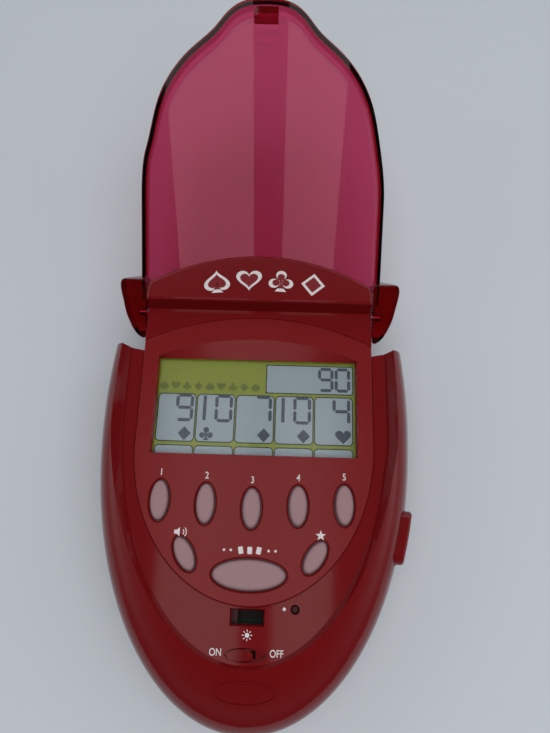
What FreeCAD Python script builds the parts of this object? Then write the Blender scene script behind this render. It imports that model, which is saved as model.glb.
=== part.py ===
import FreeCAD, Part
import math
import os

# Flip-top handheld electronic card game.
# Millimetres. X to the right, Y towards the hinge end, Z out of the face.
# The origin is the middle of the flat back, which rests on the table.
# The lid is drawn open, as it stands when the game is played.

V = FreeCAD.Vector

# Clearances
SLIDING_GAP = 0.3
KEY_GAP = 0.35
KEY_MOUTH = 0.4
PIN_GAP = 0.06
PRESS_GAP = 0.01
SCREW_GAP = 0.2
EAR_GAP = 0.4

# Body, an egg that is widest at the display
BODY_HALF_WIDTH = 39.4
BODY_WIDEST_Y = 19.0
BODY_FOOT_Y = -53.0
BODY_HEAD_Y = 95.0
FACE_Z = 24.0
FLOOR_DROP = 0.3
PARTING_Z = 16.0
WALL = 1.8
FLOOR_WALL = 1.6

# Front dome sections: height over the parting line, side drawn in, foot drawn in
DOME = ((0.0, 0.0, 0.0), (2.5, 0.2, 1.1), (5.0, 0.8, 3.8), (7.0, 1.5, 8.4),
        (8.6, 2.3, 15.0), (10.0, 3.4, 25.0), (11.0, 4.5, 40.0))
# Rear shell sections: share of the depth under the parting line, side and foot drawn in
BACK = ((0.0, 0.0, 0.0), (0.44, 0.7, 0.7), (0.75, 2.6, 2.6), (0.93, 5.4, 5.4), (1.0, 7.6, 7.6))

# Rear of the neck: share of the depth, side drawn in, tip drawn in
NECK_BACK = ((0.0, 0.0, 0.0), (0.44, 0.0, 0.6), (0.75, 1.5, 3.2), (0.93, 3.5, 6.2), (1.0, 5.0, 8.2))

# Lid pocket between the two raised rims
POCKET_HALF_WIDTH = 32.6
POCKET_FLARE = 2.6
POCKET_TOP_Z = 27.3
POCKET_CENTRE_Y = 20.0
POCKET_FOOT_Y = -37.4

# Shoulders, where the rims end beside the neck
SHOULDER_INNER_Y = 35.4
SHOULDER_OUTER_Y = 37.2

# Neck and raised title block
NECK_HALF_WIDTH = 29.5
NECK_ROOT = 3.0
NOSE_TIP_Y = 62.2
NOSE_RADIUS = 51.2
NOSE_CORNER = 2.6
CREASE_Y = 48.2
STEP_RUN = 1.0
CREASE_Z = 28.2
NOSE_TIP_Z = 26.6
CREASE_ROUND = 0.7
NOSE_EDGE_ROUND = 0.9

# Hinge
AXIS_Y = 47.0
AXIS_Z = 22.0
PIN_RADIUS = 1.0
PIN_LENGTH = 6.0
PIN_BOSS_RADIUS = 1.65
PIN_BOSS_DEPTH = 4.4
LID_TILT = 25.0

# Face panel
PANEL_HALF_WIDTH = 29.4
PANEL_THICK = 1.4
PANEL_CENTRE_Y = 12.0
PANEL_FOOT_Y = -25.3
PANEL_TOP_Y = 45.1
PANEL_TOP_RADIUS = 64.0
PANEL_SEAM = 0.12
PANEL_EDGE_ROUND = 0.25
LEDGE_IN = 1.0
LEDGE_OUT = 0.9
LEDGE_THICK = 1.3

# Display opening and what lies under it
SCREEN_HALF_WIDTH = 25.2
SCREEN_FOOT_Y = 9.2
SCREEN_TOP_Y = 33.7
SCREEN_ARCH_Y = 39.0
SCREEN_ARCH_RADIUS = 67.0
SCREEN_SLOPE = 0.3
WINDOW_THICK = 1.3
WINDOW_MARGIN = 0.9
GLASS_MARGIN = 0.2
GLASS_THICK = 2.2
LAMP_LENGTH = 1.3
LAMP_WIDTH = 3.0
LAMP_SPREAD = 6.5
FRAME_WALL = 0.9
GLASS_STEP = 0.4
STRIP_WIDTH = 1.4
STRIP_INSET = 1.0
STRIP_GAP = 0.2
LAMP_HEIGHT = 2.2
STACK_GAP = 0.1

# Keys
HOLD_KEY = (2.1, 4.55)
HOLD_PITCH = 11.05
HOLD_MIDDLE_Y = -3.6
HOLD_RISE = (1.3, 0.8, 0.0, 0.8, 1.3)
SIDE_KEY = (1.95, 3.95)
SIDE_KEY_X = 15.2
SIDE_KEY_Y = -14.3
SOUND_TILT = 28.0
SCORE_TILT = -33.0
DEAL_KEY = (8.4, 3.3)
DEAL_Y = -18.5
KEY_PROUD = 0.9
KEY_ROUND = 0.75
KEY_FLANGE = 0.85
KEY_FLANGE_THICK = 0.8
KEY_DEPTH = 4.0
KEY_TRAVEL = 0.8

# Reset key, sunk in its hole
RESET_X = 10.8
RESET_Y = -25.6
RESET_RADIUS = 0.8
RESET_SUNK = 0.7
RESET_FLANGE_RADIUS = 1.5
RESET_GAP = 0.25
RESET_ROUND = 0.25

# Circuit board and key mat
BOARD_TOP_Z = 16.0
BOARD_THICK = 1.2
BOARD_HALF_WIDTH = 33.0
BOARD_WAIST = 27.0
BOARD_TONGUE = 14.0
BOARD_HEAD_Y = 36.6
BOARD_SHOULDER_Y = 32.4
BOARD_WAIST_Y = 2.5
BOARD_TAPER = 4.0
BOARD_TONGUE_Y = -22.0
BOARD_FOOT_Y = -39.0
MAT_THICK = 0.8
MAT_HALF_WIDTH = 25.8
MAT_TOP_Y = 5.0
MAT_WAIST_Y = -21.0
MAT_FOOT_Y = -28.6
MAT_TONGUE = 13.5
DOME_RADIUS = 1.8
DOME_FLARE = 0.6
BOSS_WALL = 0.6
BOARD_SCREW_X = 31.0
BOARD_SCREW_YS = (6.0, 27.5)
BOARD_BOSS_RADIUS = 2.0
BOARD_SCREW_RADIUS = 0.75
BOARD_HEAD_RADIUS = 1.5
BOARD_HEAD_THICK = 1.0
BOARD_SCREW_LENGTH = 5.0
CHIP_BALL = 8.0
CHIP_HEIGHT = 1.4
CHIP_X = 7.0
CHIP_Y = -11.5
CAPACITOR_RADIUS = 2.0
CAPACITOR_LENGTH = 6.0
CAPACITOR_X = -13.0
CAPACITOR_YS = (-9.0, -14.5)
CAPACITOR_GROOVE = (0.8, 0.5, 0.15)
LEAD_SPREAD = 0.9
LEAD_THICK = 0.5
LEAD_REACH = 1.0

# Latch slot, latch slide and release button
SLOT_HALF_WIDTH = 3.7
SLOT_HALF_HEIGHT = 1.6
SLOT_BEVEL = 0.25
TAB_HALF_WIDTH = 3.1
TAB_THICK = 1.6
TAB_NOTCH = 1.0
TAB_LEAD = 1.2
LATCH_THICK = 1.0
LATCH_GRIP = 0.8
LATCH_TRAVEL = 1.2
LATCH_RIM = 2.4
LATCH_WINDOW = 1.5
LATCH_SIDE = 1.6
LATCH_ARM = 3.4
LATCH_PATH = ((29.5, -9.25), (26.3, -16.0), (20.0, -24.0), (14.0, -29.9), (5.0, -29.0))
SPRING_RADIUS = 1.1
SPRING_WIRE = 0.3
SPRING_DROP = 0.2
SPRING_LENGTH = 7.0
SPRING_TURNS = 5
RIB_THICK = 1.4
RIB_HALF = 2.0
RIB_DROP = 1.5
BUTTON_Y = -9.25
BUTTON_HALF_LENGTH = 6.25
BUTTON_HALF_HEIGHT = 2.3
BUTTON_TOP_GAP = 0.3
BUTTON_PROUD = 1.5
BUTTON_ROUND = 0.9
BUTTON_ROOT_X = 28.2
BUTTON_FLANGE = (0.35, 1.4, 0.9)

# Light switch
SWITCH_Y = -35.2
SWITCH_RECESS = (4.65, 1.5)
SWITCH_RECESS_DEPTH = 0.9
KNOB = (2.95, 1.2)
KNOB_X = -1.3
KNOB_PROUD = 0.5
KNOB_GROOVES = 4
KNOB_GROOVE_PITCH = 0.85
KNOB_GROOVE = (0.4, 0.35)
KNOB_STEM = (0.6, 0.5)
SWITCH_BODY = (4.4, 1.9)
SWITCH_BODY_HEIGHT = 4.2
SWITCH_SLOT = 1.3

# Raised oval ring at the foot of the face
OVAL_Y = -42.9
OVAL = (7.0, 2.65)
OVAL_WIDTH = 0.45
OVAL_PROUD = 0.25

# Lid, in its own plane: distance from the hinge axis, half width
LID_HALF_WIDTH = 32.1
LID_REACH = 79.7
LID_STRAIGHT = 30.0
LID_EDGE = ((45.3, 30.2), (55.2, 27.7), (62.3, 23.9), (67.8, 18.9), (72.5, 13.4), (76.2, 10.2), (78.7, 6.7))
LID_WALL = 1.5
LID_PLATE = 1.5
LID_RIM_H = 2.0
LID_TOP_H = 6.8
LID_ROUND = 1.4
LID_START = 3.0
LID_ARCH_D = 15.4
LID_ARCH_RADIUS = 49.9
TAB_D = 74.5
TAB_END_H = -3.4
TAB_BEND_H = 2.4
TAB_ROOT_D = 76.0

# Lid ears in the same plane: outline as half width and distance, profile as distance and height
EAR_OUTLINE = ((0.9, -6.95), (2.8, -5.2), (4.15, -2.9), (5.1, -0.6), (5.8, 2.4), (6.5, 6.2), (6.1, 8.3),
               (4.0, 9.05), (0.8, 9.1), (0.0, 8.0), (0.0, 4.0), (0.0, 0.0), (0.0, -4.0), (0.1, -6.1))
EAR_PROFILE = ((8.6, -2.6), (9.2, 0.5), (9.0, 3.8), (7.2, 5.3), (3.0, 5.7), (-1.5, 5.0), (-5.0, 2.9),
               (-6.9, -0.2), (-6.6, -2.6), (-3.0, -2.7), (1.0, -2.7), (5.0, -2.7))
EAR_PIN_DEPTH = 2.0
EAR_SPAN = 9.0

# Battery bay, cells and door
CELL_RADIUS = 5.25
CELL_LENGTH = 43.7
CELL_NUB = (1.9, 0.8)
CELL_ROUND = 0.5
CELL_PITCH = 10.7
CELL_Z = 7.3
BAY_HALF_LENGTH = 24.6
BAY_CENTRE_Y = 14.5
BAY_MARGIN = 0.35
BAY_WALL = 1.2
BAY_ROOF_Z = 12.8
DOOR_THICK = 1.6
DOOR_SUNK = 0.2
DOOR_TONGUE = (4.0, 6.6)
DOOR_TAB_X = 14.0
DOOR_TAB_HALF = 2.0
DOOR_TAB_THICK = 0.9
DOOR_TAB_REACH = 1.8
DOOR_LIP = 0.6
DOOR_SCREW_Y = -6.6
DOOR_SCREW_RADIUS = 1.1
DOOR_SCREW_SWING = 0.45
DOOR_SCREW_HEAD = (2.0, 0.8)
DOOR_SCREW_RISE = 4.0
DOOR_POST_RADIUS = 2.9
DOOR_POST_TOP_Z = 8.0
DOOR_GRIPS = 3
DOOR_GRIP_Y = 1.5
DOOR_GRIP_HALF = 7.0
DOOR_GRIP_WIDTH = 0.8
DOOR_GRIP_DEPTH = 0.35
CONTACT_THICK = 0.4
CONTACT_HALF = 3.6
CONTACT_LEG = 2.0
COIL_RADIUS = 2.2
COIL_WIRE = 0.5
COIL_TURNS = 3

# Housing screws
SCREW_PLACES = ((21.0, 45.5), (19.5, -34.0))
SCREW_RADIUS = 0.95
SCREW_HEAD_RADIUS = 2.0
SCREW_HEAD_THICK = 1.4
SCREW_SEAT_Z = 9.0
SCREW_LENGTH = 10.0
SCREW_END_ROOM = 0.4
CROSS_WIDTH = 0.5
CROSS_DEPTH = 0.5
CROSS_SHARE = 0.6
POST_RADIUS = 3.1

# Sounder
SOUNDER_Y = -29.5
SOUNDER_RADIUS = 10.0
SOUNDER_THICK = 0.5
SOUNDER_DISC_SHARE = 0.7
SOUNDER_DISC_THICK = 0.25
SOUNDER_SEAT_WIDTH = 1.2
SOUNDER_SEAT_HEIGHT = 0.8
SOUND_HOLE_RADIUS = 0.7
SOUND_HOLE_RING = 4.0
SOUND_HOLES = 6
SOUNDER_SPRING_X = 4.5
SOUNDER_SPRING_RADIUS = 1.2
SOUNDER_SPRING_TURNS = 6

# Places that follow from the sizes above
FLOOR_Z = FACE_Z - FLOOR_DROP
FLOOR_UNDER_Z = FLOOR_Z - FLOOR_WALL
PANEL_UNDER_Z = FACE_Z - PANEL_THICK
LEDGE_UNDER_Z = PANEL_UNDER_Z - LEDGE_THICK
WINDOW_UNDER_Z = PANEL_UNDER_Z - WINDOW_THICK
GLASS_TOP_Z = WINDOW_UNDER_Z - 2.0 * STACK_GAP
GLASS_UNDER_Z = GLASS_TOP_Z - GLASS_THICK
BOARD_UNDER_Z = BOARD_TOP_Z - BOARD_THICK
KEY_UNDER_Z = FACE_Z - KEY_DEPTH
KEY_TOP_Z = FACE_Z + KEY_PROUD
MAT_TOP_Z = BOARD_TOP_Z + MAT_THICK
MAT_DOME_Z = KEY_UNDER_Z - KEY_TRAVEL - SLIDING_GAP
LATCH_TOP_Z = LEDGE_UNDER_Z - SLIDING_GAP
LATCH_UNDER_Z = LATCH_TOP_Z - LATCH_THICK
BUTTON_Z = FLOOR_UNDER_Z - BUTTON_TOP_GAP - BUTTON_HALF_HEIGHT
SWITCH_TOP_Z = BOARD_TOP_Z + SWITCH_BODY_HEIGHT
DOOR_TOP_Z = DOOR_SUNK + DOOR_THICK
DOOR_EDGE_Y = BAY_CENTRE_Y + CELL_PITCH + CELL_RADIUS + BAY_MARGIN + DOOR_LIP
DOOR_PIVOT_Y = DOOR_EDGE_Y - DOOR_THICK / 2.0
DOOR_PIVOT_Z = DOOR_SUNK + DOOR_THICK / 2.0
DOOR_TAB_END_Y = DOOR_EDGE_Y + DOOR_TAB_REACH
DOOR_TAB_SLOT_Z = DOOR_PIVOT_Z + DOOR_TAB_END_Y - DOOR_PIVOT_Y + 2.0 * SLIDING_GAP
GLASS_HALF = SCREEN_HALF_WIDTH + WINDOW_MARGIN + GLASS_MARGIN
GLASS_FOOT_Y = SCREEN_FOOT_Y - WINDOW_MARGIN - GLASS_MARGIN
GLASS_HEAD_Y = SCREEN_TOP_Y + WINDOW_MARGIN + GLASS_MARGIN
GUIDE_FOOT_Y = GLASS_FOOT_Y + STRIP_WIDTH + 2.0 * STRIP_GAP
GUIDE_HEAD_Y = GLASS_HEAD_Y - STRIP_WIDTH - 2.0 * STRIP_GAP
GUIDE_MIDDLE_Y = (GUIDE_FOOT_Y + GUIDE_HEAD_Y) / 2.0
LAMP_X = GLASS_HALF - LAMP_LENGTH - 2.0 * STACK_GAP
LATCH_LEFT_X = -(TAB_HALF_WIDTH - LATCH_GRIP)
LATCH_RIGHT_X = TAB_HALF_WIDTH + LATCH_TRAVEL + SLIDING_GAP
LATCH_END_X = LATCH_LEFT_X - LATCH_RIM
RIB_X = LATCH_END_X - SPRING_LENGTH
SLOT_Y = AXIS_Y - TAB_D
SPRING_Z = (LATCH_TOP_Z + LATCH_UNDER_Z) / 2.0 - SPRING_DROP
EAR_INNER = NECK_HALF_WIDTH + EAR_GAP
PIN_INNER_X = EAR_INNER + EAR_PIN_DEPTH - PIN_LENGTH
RESET_TOP_Z = FLOOR_Z - RESET_SUNK
RESET_FLANGE_Z = LEDGE_UNDER_Z - SLIDING_GAP - 0.1
FAR = 60.0
OVERLAP = 0.2


def box(x0, x1, y0, y1, z0, z1):
    return Part.makeBox(x1 - x0, y1 - y0, z1 - z0, V(x0, y0, z0))


def cylinder(radius, x, y, z0, z1):
    return Part.makeCylinder(radius, z1 - z0, V(x, y, z0), V(0, 0, 1))


def bar_along_x(radius, x0, x1, y, z):
    return Part.makeCylinder(radius, x1 - x0, V(x0, y, z), V(1, 0, 0))


def prism(points, z0, z1):
    outline = Part.makePolygon([V(x, y, z0) for x, y in points] + [V(points[0][0], points[0][1], z0)])
    return Part.Face(outline).extrude(V(0, 0, z1 - z0))


def prism_along_x(points, x0, x1):
    outline = Part.makePolygon([V(x0, y, z) for y, z in points] + [V(x0, points[0][0], points[0][1])])
    return Part.Face(outline).extrude(V(x1 - x0, 0, 0))


def oval_wire(half_x, half_y, x, y, z, turn):
    wire = Part.Wire(Part.Ellipse(V(0, 0, 0), max(half_x, half_y), min(half_x, half_y)).toShape())
    wire.rotate(V(0, 0, 0), V(0, 0, 1), turn if half_x >= half_y else turn + 90.0)
    wire.translate(V(x, y, z))
    return wire


def oval(half_x, half_y, x, y, z0, z1, turn=0.0):
    """Straight solid with an elliptical outline, turned about its own middle."""
    return Part.Face(oval_wire(half_x, half_y, x, y, z0, turn)).extrude(V(0, 0, z1 - z0))


def both_sides(shape):
    return [shape, shape.mirror(V(0, 0, 0), V(1, 0, 0))]


def coil(radius, wire, length, turns, start, axis):
    """Open helical spring of round wire."""
    pitch = (length - wire) / turns
    path = Part.makeHelix(pitch, pitch * turns, radius)
    ring = Part.Wire(Part.makeCircle(wire / 2.0, V(radius, 0, 0), V(0, 1, 0)))
    spring = Part.Wire(path).makePipeShell([ring], True, True)
    spring.translate(V(0, 0, wire / 2.0))
    spring.Placement = FreeCAD.Placement(start, FreeCAD.Rotation(V(0, 0, 1), axis)).multiply(spring.Placement)
    return spring


def egg(half_width, foot_y, z, points=32):
    """Closed smooth egg: half an ellipse above the widest line, a slightly squarer half below."""
    ring = []
    for k in range(points):
        angle = 2.0 * math.pi * k / points
        reach = math.sin(angle)
        if reach >= 0.0:
            y = BODY_WIDEST_Y + (BODY_HEAD_Y - BODY_WIDEST_Y) * reach
        else:
            y = BODY_WIDEST_Y - (BODY_WIDEST_Y - foot_y) * abs(reach) ** 0.92
        ring.append(V(half_width * math.cos(angle), y, z))
    curve = Part.BSplineCurve()
    curve.interpolate(Points=ring, PeriodicFlag=True)
    return Part.Wire(curve.toShape())


def dome(inset=0.0, drop=0.0, lift=0.0):
    """Outer form of the front housing, or one drawn in and lowered by a wall."""
    rings = [egg(BODY_HALF_WIDTH - side - inset, BODY_FOOT_Y + foot + inset, PARTING_Z + height - drop + lift)
             for height, side, foot in DOME]
    return Part.makeLoft(rings, True, False)


def back_form(inset=0.0, lift=0.0):
    """Outer form of the rear housing, or one drawn in and lifted by a wall."""
    rings = [egg(BODY_HALF_WIDTH - side - inset, BODY_FOOT_Y + foot + inset, PARTING_Z * (1.0 - share) + lift)
             for share, side, foot in BACK]
    return Part.makeLoft(rings, True, False)


def half_ellipse_ring(half_width, centre_y, foot_y, top_points, z):
    """Ring of lines through top_points, closed by half an ellipse below the centre line."""
    depth = centre_y - foot_y
    right = V(half_width, centre_y, z)
    left = V(-half_width, centre_y, z)
    steps = 16
    arc = []
    for k in range(steps + 1):
        angle = math.pi + math.pi * k / steps
        arc.append(V(half_width * math.cos(angle), centre_y + depth * math.sin(angle), z))
    curve = Part.BSplineCurve()
    curve.interpolate(Points=arc, InitialTangent=V(0, -depth, 0), FinalTangent=V(0, depth, 0))
    edges = [curve.toShape()]
    last = right
    for x, y in top_points:
        edges.append(Part.makeLine(last, V(x, y, z)))
        last = V(x, y, z)
    edges.append(Part.makeLine(last, left))
    return Part.Wire(edges)


def pocket(grow=0.0, drop=0.0):
    """Space for the closed lid, flaring up to the rims."""
    top_y = AXIS_Y + FAR
    rings = []
    for half_width, foot_y, z in (
            (POCKET_HALF_WIDTH, POCKET_FOOT_Y, FLOOR_Z - drop),
            (POCKET_HALF_WIDTH + POCKET_FLARE, POCKET_FOOT_Y - POCKET_FLARE, POCKET_TOP_Z - drop),
            (POCKET_HALF_WIDTH + POCKET_FLARE, POCKET_FOOT_Y - POCKET_FLARE, POCKET_TOP_Z + FAR)):
        corners = ((half_width + grow, top_y), (-half_width - grow, top_y))
        rings.append(half_ellipse_ring(half_width + grow, POCKET_CENTRE_Y, foot_y - grow, corners, z))
    return Part.makeLoft(rings[:2], True, True).fuse(Part.makeLoft(rings[1:], True, True))


def head_cut(shift=0.0):
    """All that lies past the slanted shoulders and the neck line."""
    slope = (SHOULDER_OUTER_Y - SHOULDER_INNER_Y) / (BODY_HALF_WIDTH - NECK_HALF_WIDTH)
    outer_y = SHOULDER_INNER_Y + slope * (FAR - NECK_HALF_WIDTH) - shift
    inner_y = SHOULDER_INNER_Y - shift
    points = ((-FAR, outer_y), (-NECK_HALF_WIDTH, inner_y), (NECK_HALF_WIDTH, inner_y),
              (FAR, outer_y), (FAR, 3.0 * FAR), (-FAR, 3.0 * FAR))
    return prism(points, -FAR, 2.0 * FAR)


def arch_drop(radius, half_width):
    return radius - math.sqrt(radius * radius - half_width * half_width)


def arched_ring(half_width, tip_y, radius, base_y, z, corner=0.0):
    """Rectangle whose far side is an arch, with its two far corners rounded."""
    centre_y = tip_y - radius
    side_y = centre_y + math.sqrt((radius - corner) ** 2 - (half_width - corner) ** 2)
    reach = radius / (radius - corner)
    arch_x = (half_width - corner) * reach
    arch_y = centre_y + (side_y - centre_y) * reach
    right = V(half_width, side_y, z)
    left = V(-half_width, side_y, z)
    right_arch = V(arch_x, arch_y, z)
    left_arch = V(-arch_x, arch_y, z)
    edges = [Part.makeLine(V(-half_width, base_y, z), V(half_width, base_y, z)),
             Part.makeLine(V(half_width, base_y, z), right)]
    if corner > 0.0:
        angle = math.atan2(side_y - centre_y, half_width - corner) / 2.0
        middle_x = half_width - corner + corner * math.cos(angle)
        middle_y = side_y + corner * math.sin(angle)
        edges.append(Part.Arc(right, V(middle_x, middle_y, z), right_arch).toShape())
    edges.append(Part.Arc(right_arch, V(0, tip_y, z), left_arch).toShape())
    if corner > 0.0:
        edges.append(Part.Arc(left_arch, V(-middle_x, middle_y, z), left).toShape())
    edges.append(Part.makeLine(left, V(-half_width, base_y, z)))
    return Part.Wire(edges)


def arched_solid(half_width, tip_y, radius, base_y, z0, z1, corner=0.0):
    ring = arched_ring(half_width, tip_y, radius, base_y, z0, corner)
    return Part.Face(ring).extrude(V(0, 0, z1 - z0))


def edges_where(shape, test):
    return [edge for edge in shape.Edges if test(edge.BoundBox)]


def title_top_z(y, drop=0.0):
    slope = (NOSE_TIP_Z - CREASE_Z) / (NOSE_TIP_Y - CREASE_Y)
    return CREASE_Z - drop + slope * (y - CREASE_Y)


def neck_form():
    """Neck with the raised title block at its end."""
    base_y = SHOULDER_INNER_Y - NECK_ROOT
    end_y = NOSE_TIP_Y + NECK_ROOT
    roof_z = FLOOR_Z + FAR
    block = arched_solid(NECK_HALF_WIDTH, NOSE_TIP_Y, NOSE_RADIUS, base_y, PARTING_Z, roof_z, NOSE_CORNER)
    above = ((base_y - 1.0, FLOOR_Z), (CREASE_Y - STEP_RUN, FLOOR_Z), (CREASE_Y, CREASE_Z),
             (end_y, title_top_z(end_y)), (end_y, roof_z + 1.0), (base_y - 1.0, roof_z + 1.0))
    block = block.cut(prism_along_x(above, -FAR, FAR))
    crease = edges_where(block, lambda b: abs(b.YMin - CREASE_Y) < 0.01 and b.XLength > 30.0
                         and abs(b.ZMin - CREASE_Z) < 0.01)
    block = block.makeFillet(CREASE_ROUND, crease)
    rim = edges_where(block, lambda b: b.YMin > CREASE_Y and b.ZMin > NOSE_TIP_Z - 0.5 and b.XLength > 40.0
                      and b.YLength > 3.0)
    return block.makeFillet(NOSE_EDGE_ROUND, rim)


def neck_hollow():
    base_y = SHOULDER_INNER_Y - 8.0
    start_y = CREASE_Y + WALL
    block = arched_solid(NECK_HALF_WIDTH - WALL, NOSE_TIP_Y - WALL, NOSE_RADIUS - WALL, base_y,
                         PARTING_Z - WALL, CREASE_Z, NOSE_CORNER - WALL / 2.0)
    below = ((base_y - 1.0, FLOOR_UNDER_Z), (start_y, FLOOR_UNDER_Z), (start_y, title_top_z(start_y, WALL)),
             (NOSE_TIP_Y, title_top_z(NOSE_TIP_Y, WALL)), (NOSE_TIP_Y, PARTING_Z - 5.0),
             (base_y - 1.0, PARTING_Z - 5.0))
    return block.common(prism_along_x(below, -FAR, FAR))


def neck_back(inset=0.0, lift=0.0):
    """Rear half of the neck, drawn in towards the flat back."""
    rings = []
    for share, side, tip in NECK_BACK:
        rings.append(arched_ring(NECK_HALF_WIDTH - side - inset, NOSE_TIP_Y - tip - inset, NOSE_RADIUS,
                                 SHOULDER_INNER_Y - 10.0, PARTING_Z * (1.0 - share) + lift, NOSE_CORNER))
    return Part.makeLoft(rings, True, False)


def panel_ring(grow, z):
    """Outline of the face panel: half an ellipse, two sides and an arch."""
    half_width = PANEL_HALF_WIDTH + grow
    top_y = PANEL_TOP_Y + grow
    side_y = top_y - arch_drop(PANEL_TOP_RADIUS + grow, half_width)
    foot_y = PANEL_FOOT_Y - grow
    side = V(half_width, PANEL_CENTRE_Y, z)
    foot = V(0, foot_y, z)
    centre = V(0, PANEL_CENTRE_Y, z)
    if half_width > PANEL_CENTRE_Y - foot_y:
        ellipse = Part.Ellipse(side, foot, centre)
    else:
        ellipse = Part.Ellipse(foot, side, centre)
    left = V(-half_width, PANEL_CENTRE_Y, z)
    first = ellipse.parameter(left)
    last = ellipse.parameter(side)
    middle = ellipse.parameter(foot)
    if last < first:
        last += 2.0 * math.pi
    if middle < first:
        middle += 2.0 * math.pi
    if middle > last:
        first, last = last, first + 2.0 * math.pi
    bottom = Part.ArcOfEllipse(ellipse, first, last).toShape()
    right_top = V(half_width, side_y, z)
    left_top = V(-half_width, side_y, z)
    arch = Part.Arc(right_top, V(0, top_y, z), left_top).toShape()
    edges = [bottom, Part.makeLine(side, right_top), arch, Part.makeLine(left_top, left)]
    return Part.Wire(Part.__sortEdges__(edges))


def panel_solid(grow, z0, z1):
    return Part.Face(panel_ring(grow, z0)).extrude(V(0, 0, z1 - z0))


def key_places():
    """Name, half sizes, place and turn of every key under the face panel."""
    places = []
    for k, rise in enumerate(HOLD_RISE):
        places.append(("hold_key_%d" % (k + 1), HOLD_KEY, (k - 2) * HOLD_PITCH, HOLD_MIDDLE_Y + rise, 0.0))
    places.append(("sound_key", SIDE_KEY, -SIDE_KEY_X, SIDE_KEY_Y, SOUND_TILT))
    places.append(("score_key", SIDE_KEY, SIDE_KEY_X, SIDE_KEY_Y, SCORE_TILT))
    places.append(("deal_key", DEAL_KEY, 0.0, DEAL_Y, 0.0))
    return places


def slot_solid(grow, z0, z1):
    return box(-SLOT_HALF_WIDTH - grow, SLOT_HALF_WIDTH + grow, SLOT_Y - SLOT_HALF_HEIGHT - grow,
               SLOT_Y + SLOT_HALF_HEIGHT + grow, z0, z1)


def slot_bevel():
    rings = []
    for grow, z in ((0.0, FLOOR_Z - 2.0 * SLOT_BEVEL), (2.0 * SLOT_BEVEL, FLOOR_Z + 2.0 * SLOT_BEVEL)):
        x = SLOT_HALF_WIDTH + grow
        y0 = SLOT_Y - SLOT_HALF_HEIGHT - grow
        y1 = SLOT_Y + SLOT_HALF_HEIGHT + grow
        rings.append(Part.makePolygon([V(-x, y0, z), V(x, y0, z), V(x, y1, z), V(-x, y1, z), V(-x, y0, z)]))
    return Part.makeLoft(rings, True, True)


def front_bosses():
    bosses = []
    for x, y in SCREW_PLACES:
        bosses += both_sides(cylinder(POST_RADIUS, x, y, PARTING_Z, FLOOR_Z))
    for y in BOARD_SCREW_YS:
        bosses += both_sides(cylinder(BOARD_BOSS_RADIUS, BOARD_SCREW_X, y, BOARD_TOP_Z, FLOOR_Z))
    inner = NECK_HALF_WIDTH - PIN_BOSS_DEPTH
    bosses += both_sides(bar_along_x(PIN_BOSS_RADIUS, inner, NECK_HALF_WIDTH, AXIS_Y, AXIS_Z))
    bosses.append(box(RIB_X - RIB_THICK, RIB_X, SLOT_Y - RIB_HALF, SLOT_Y + RIB_HALF,
                      SPRING_Z - RIB_DROP, FLOOR_Z))
    bosses.append(cylinder(RESET_FLANGE_RADIUS + BOSS_WALL, RESET_X, RESET_Y,
                           RESET_FLANGE_Z + SLIDING_GAP, FLOOR_Z))
    return bosses


def oval_ring():
    outer = oval(OVAL[0], OVAL[1], 0.0, OVAL_Y, PARTING_Z, CREASE_Z)
    inner = oval(OVAL[0] - OVAL_WIDTH, OVAL[1] - OVAL_WIDTH, 0.0, OVAL_Y, PARTING_Z, CREASE_Z)
    return outer.cut(inner).common(dome(0.0, 0.0, OVAL_PROUD))


def under_floor_space():
    """Room under the floor, inside the wall of the dome and short of the shoulders."""
    slab = box(-FAR, FAR, -FAR - 20.0, FAR, PARTING_Z - 2.0 * WALL, FLOOR_UNDER_Z)
    return dome(WALL, WALL).cut(head_cut(WALL)).common(slab)


def button_window(grow, x0):
    """Space of the release button in the side wall, with round ends."""
    radius = BUTTON_HALF_HEIGHT + grow
    reach = BUTTON_HALF_LENGTH - BUTTON_HALF_HEIGHT
    window = box(x0, FAR, BUTTON_Y - reach, BUTTON_Y + reach, BUTTON_Z - radius, BUTTON_Z + radius)
    for y in (BUTTON_Y - reach, BUTTON_Y + reach):
        window = window.fuse(bar_along_x(radius, x0, FAR, y, BUTTON_Z))
    return window


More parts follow.
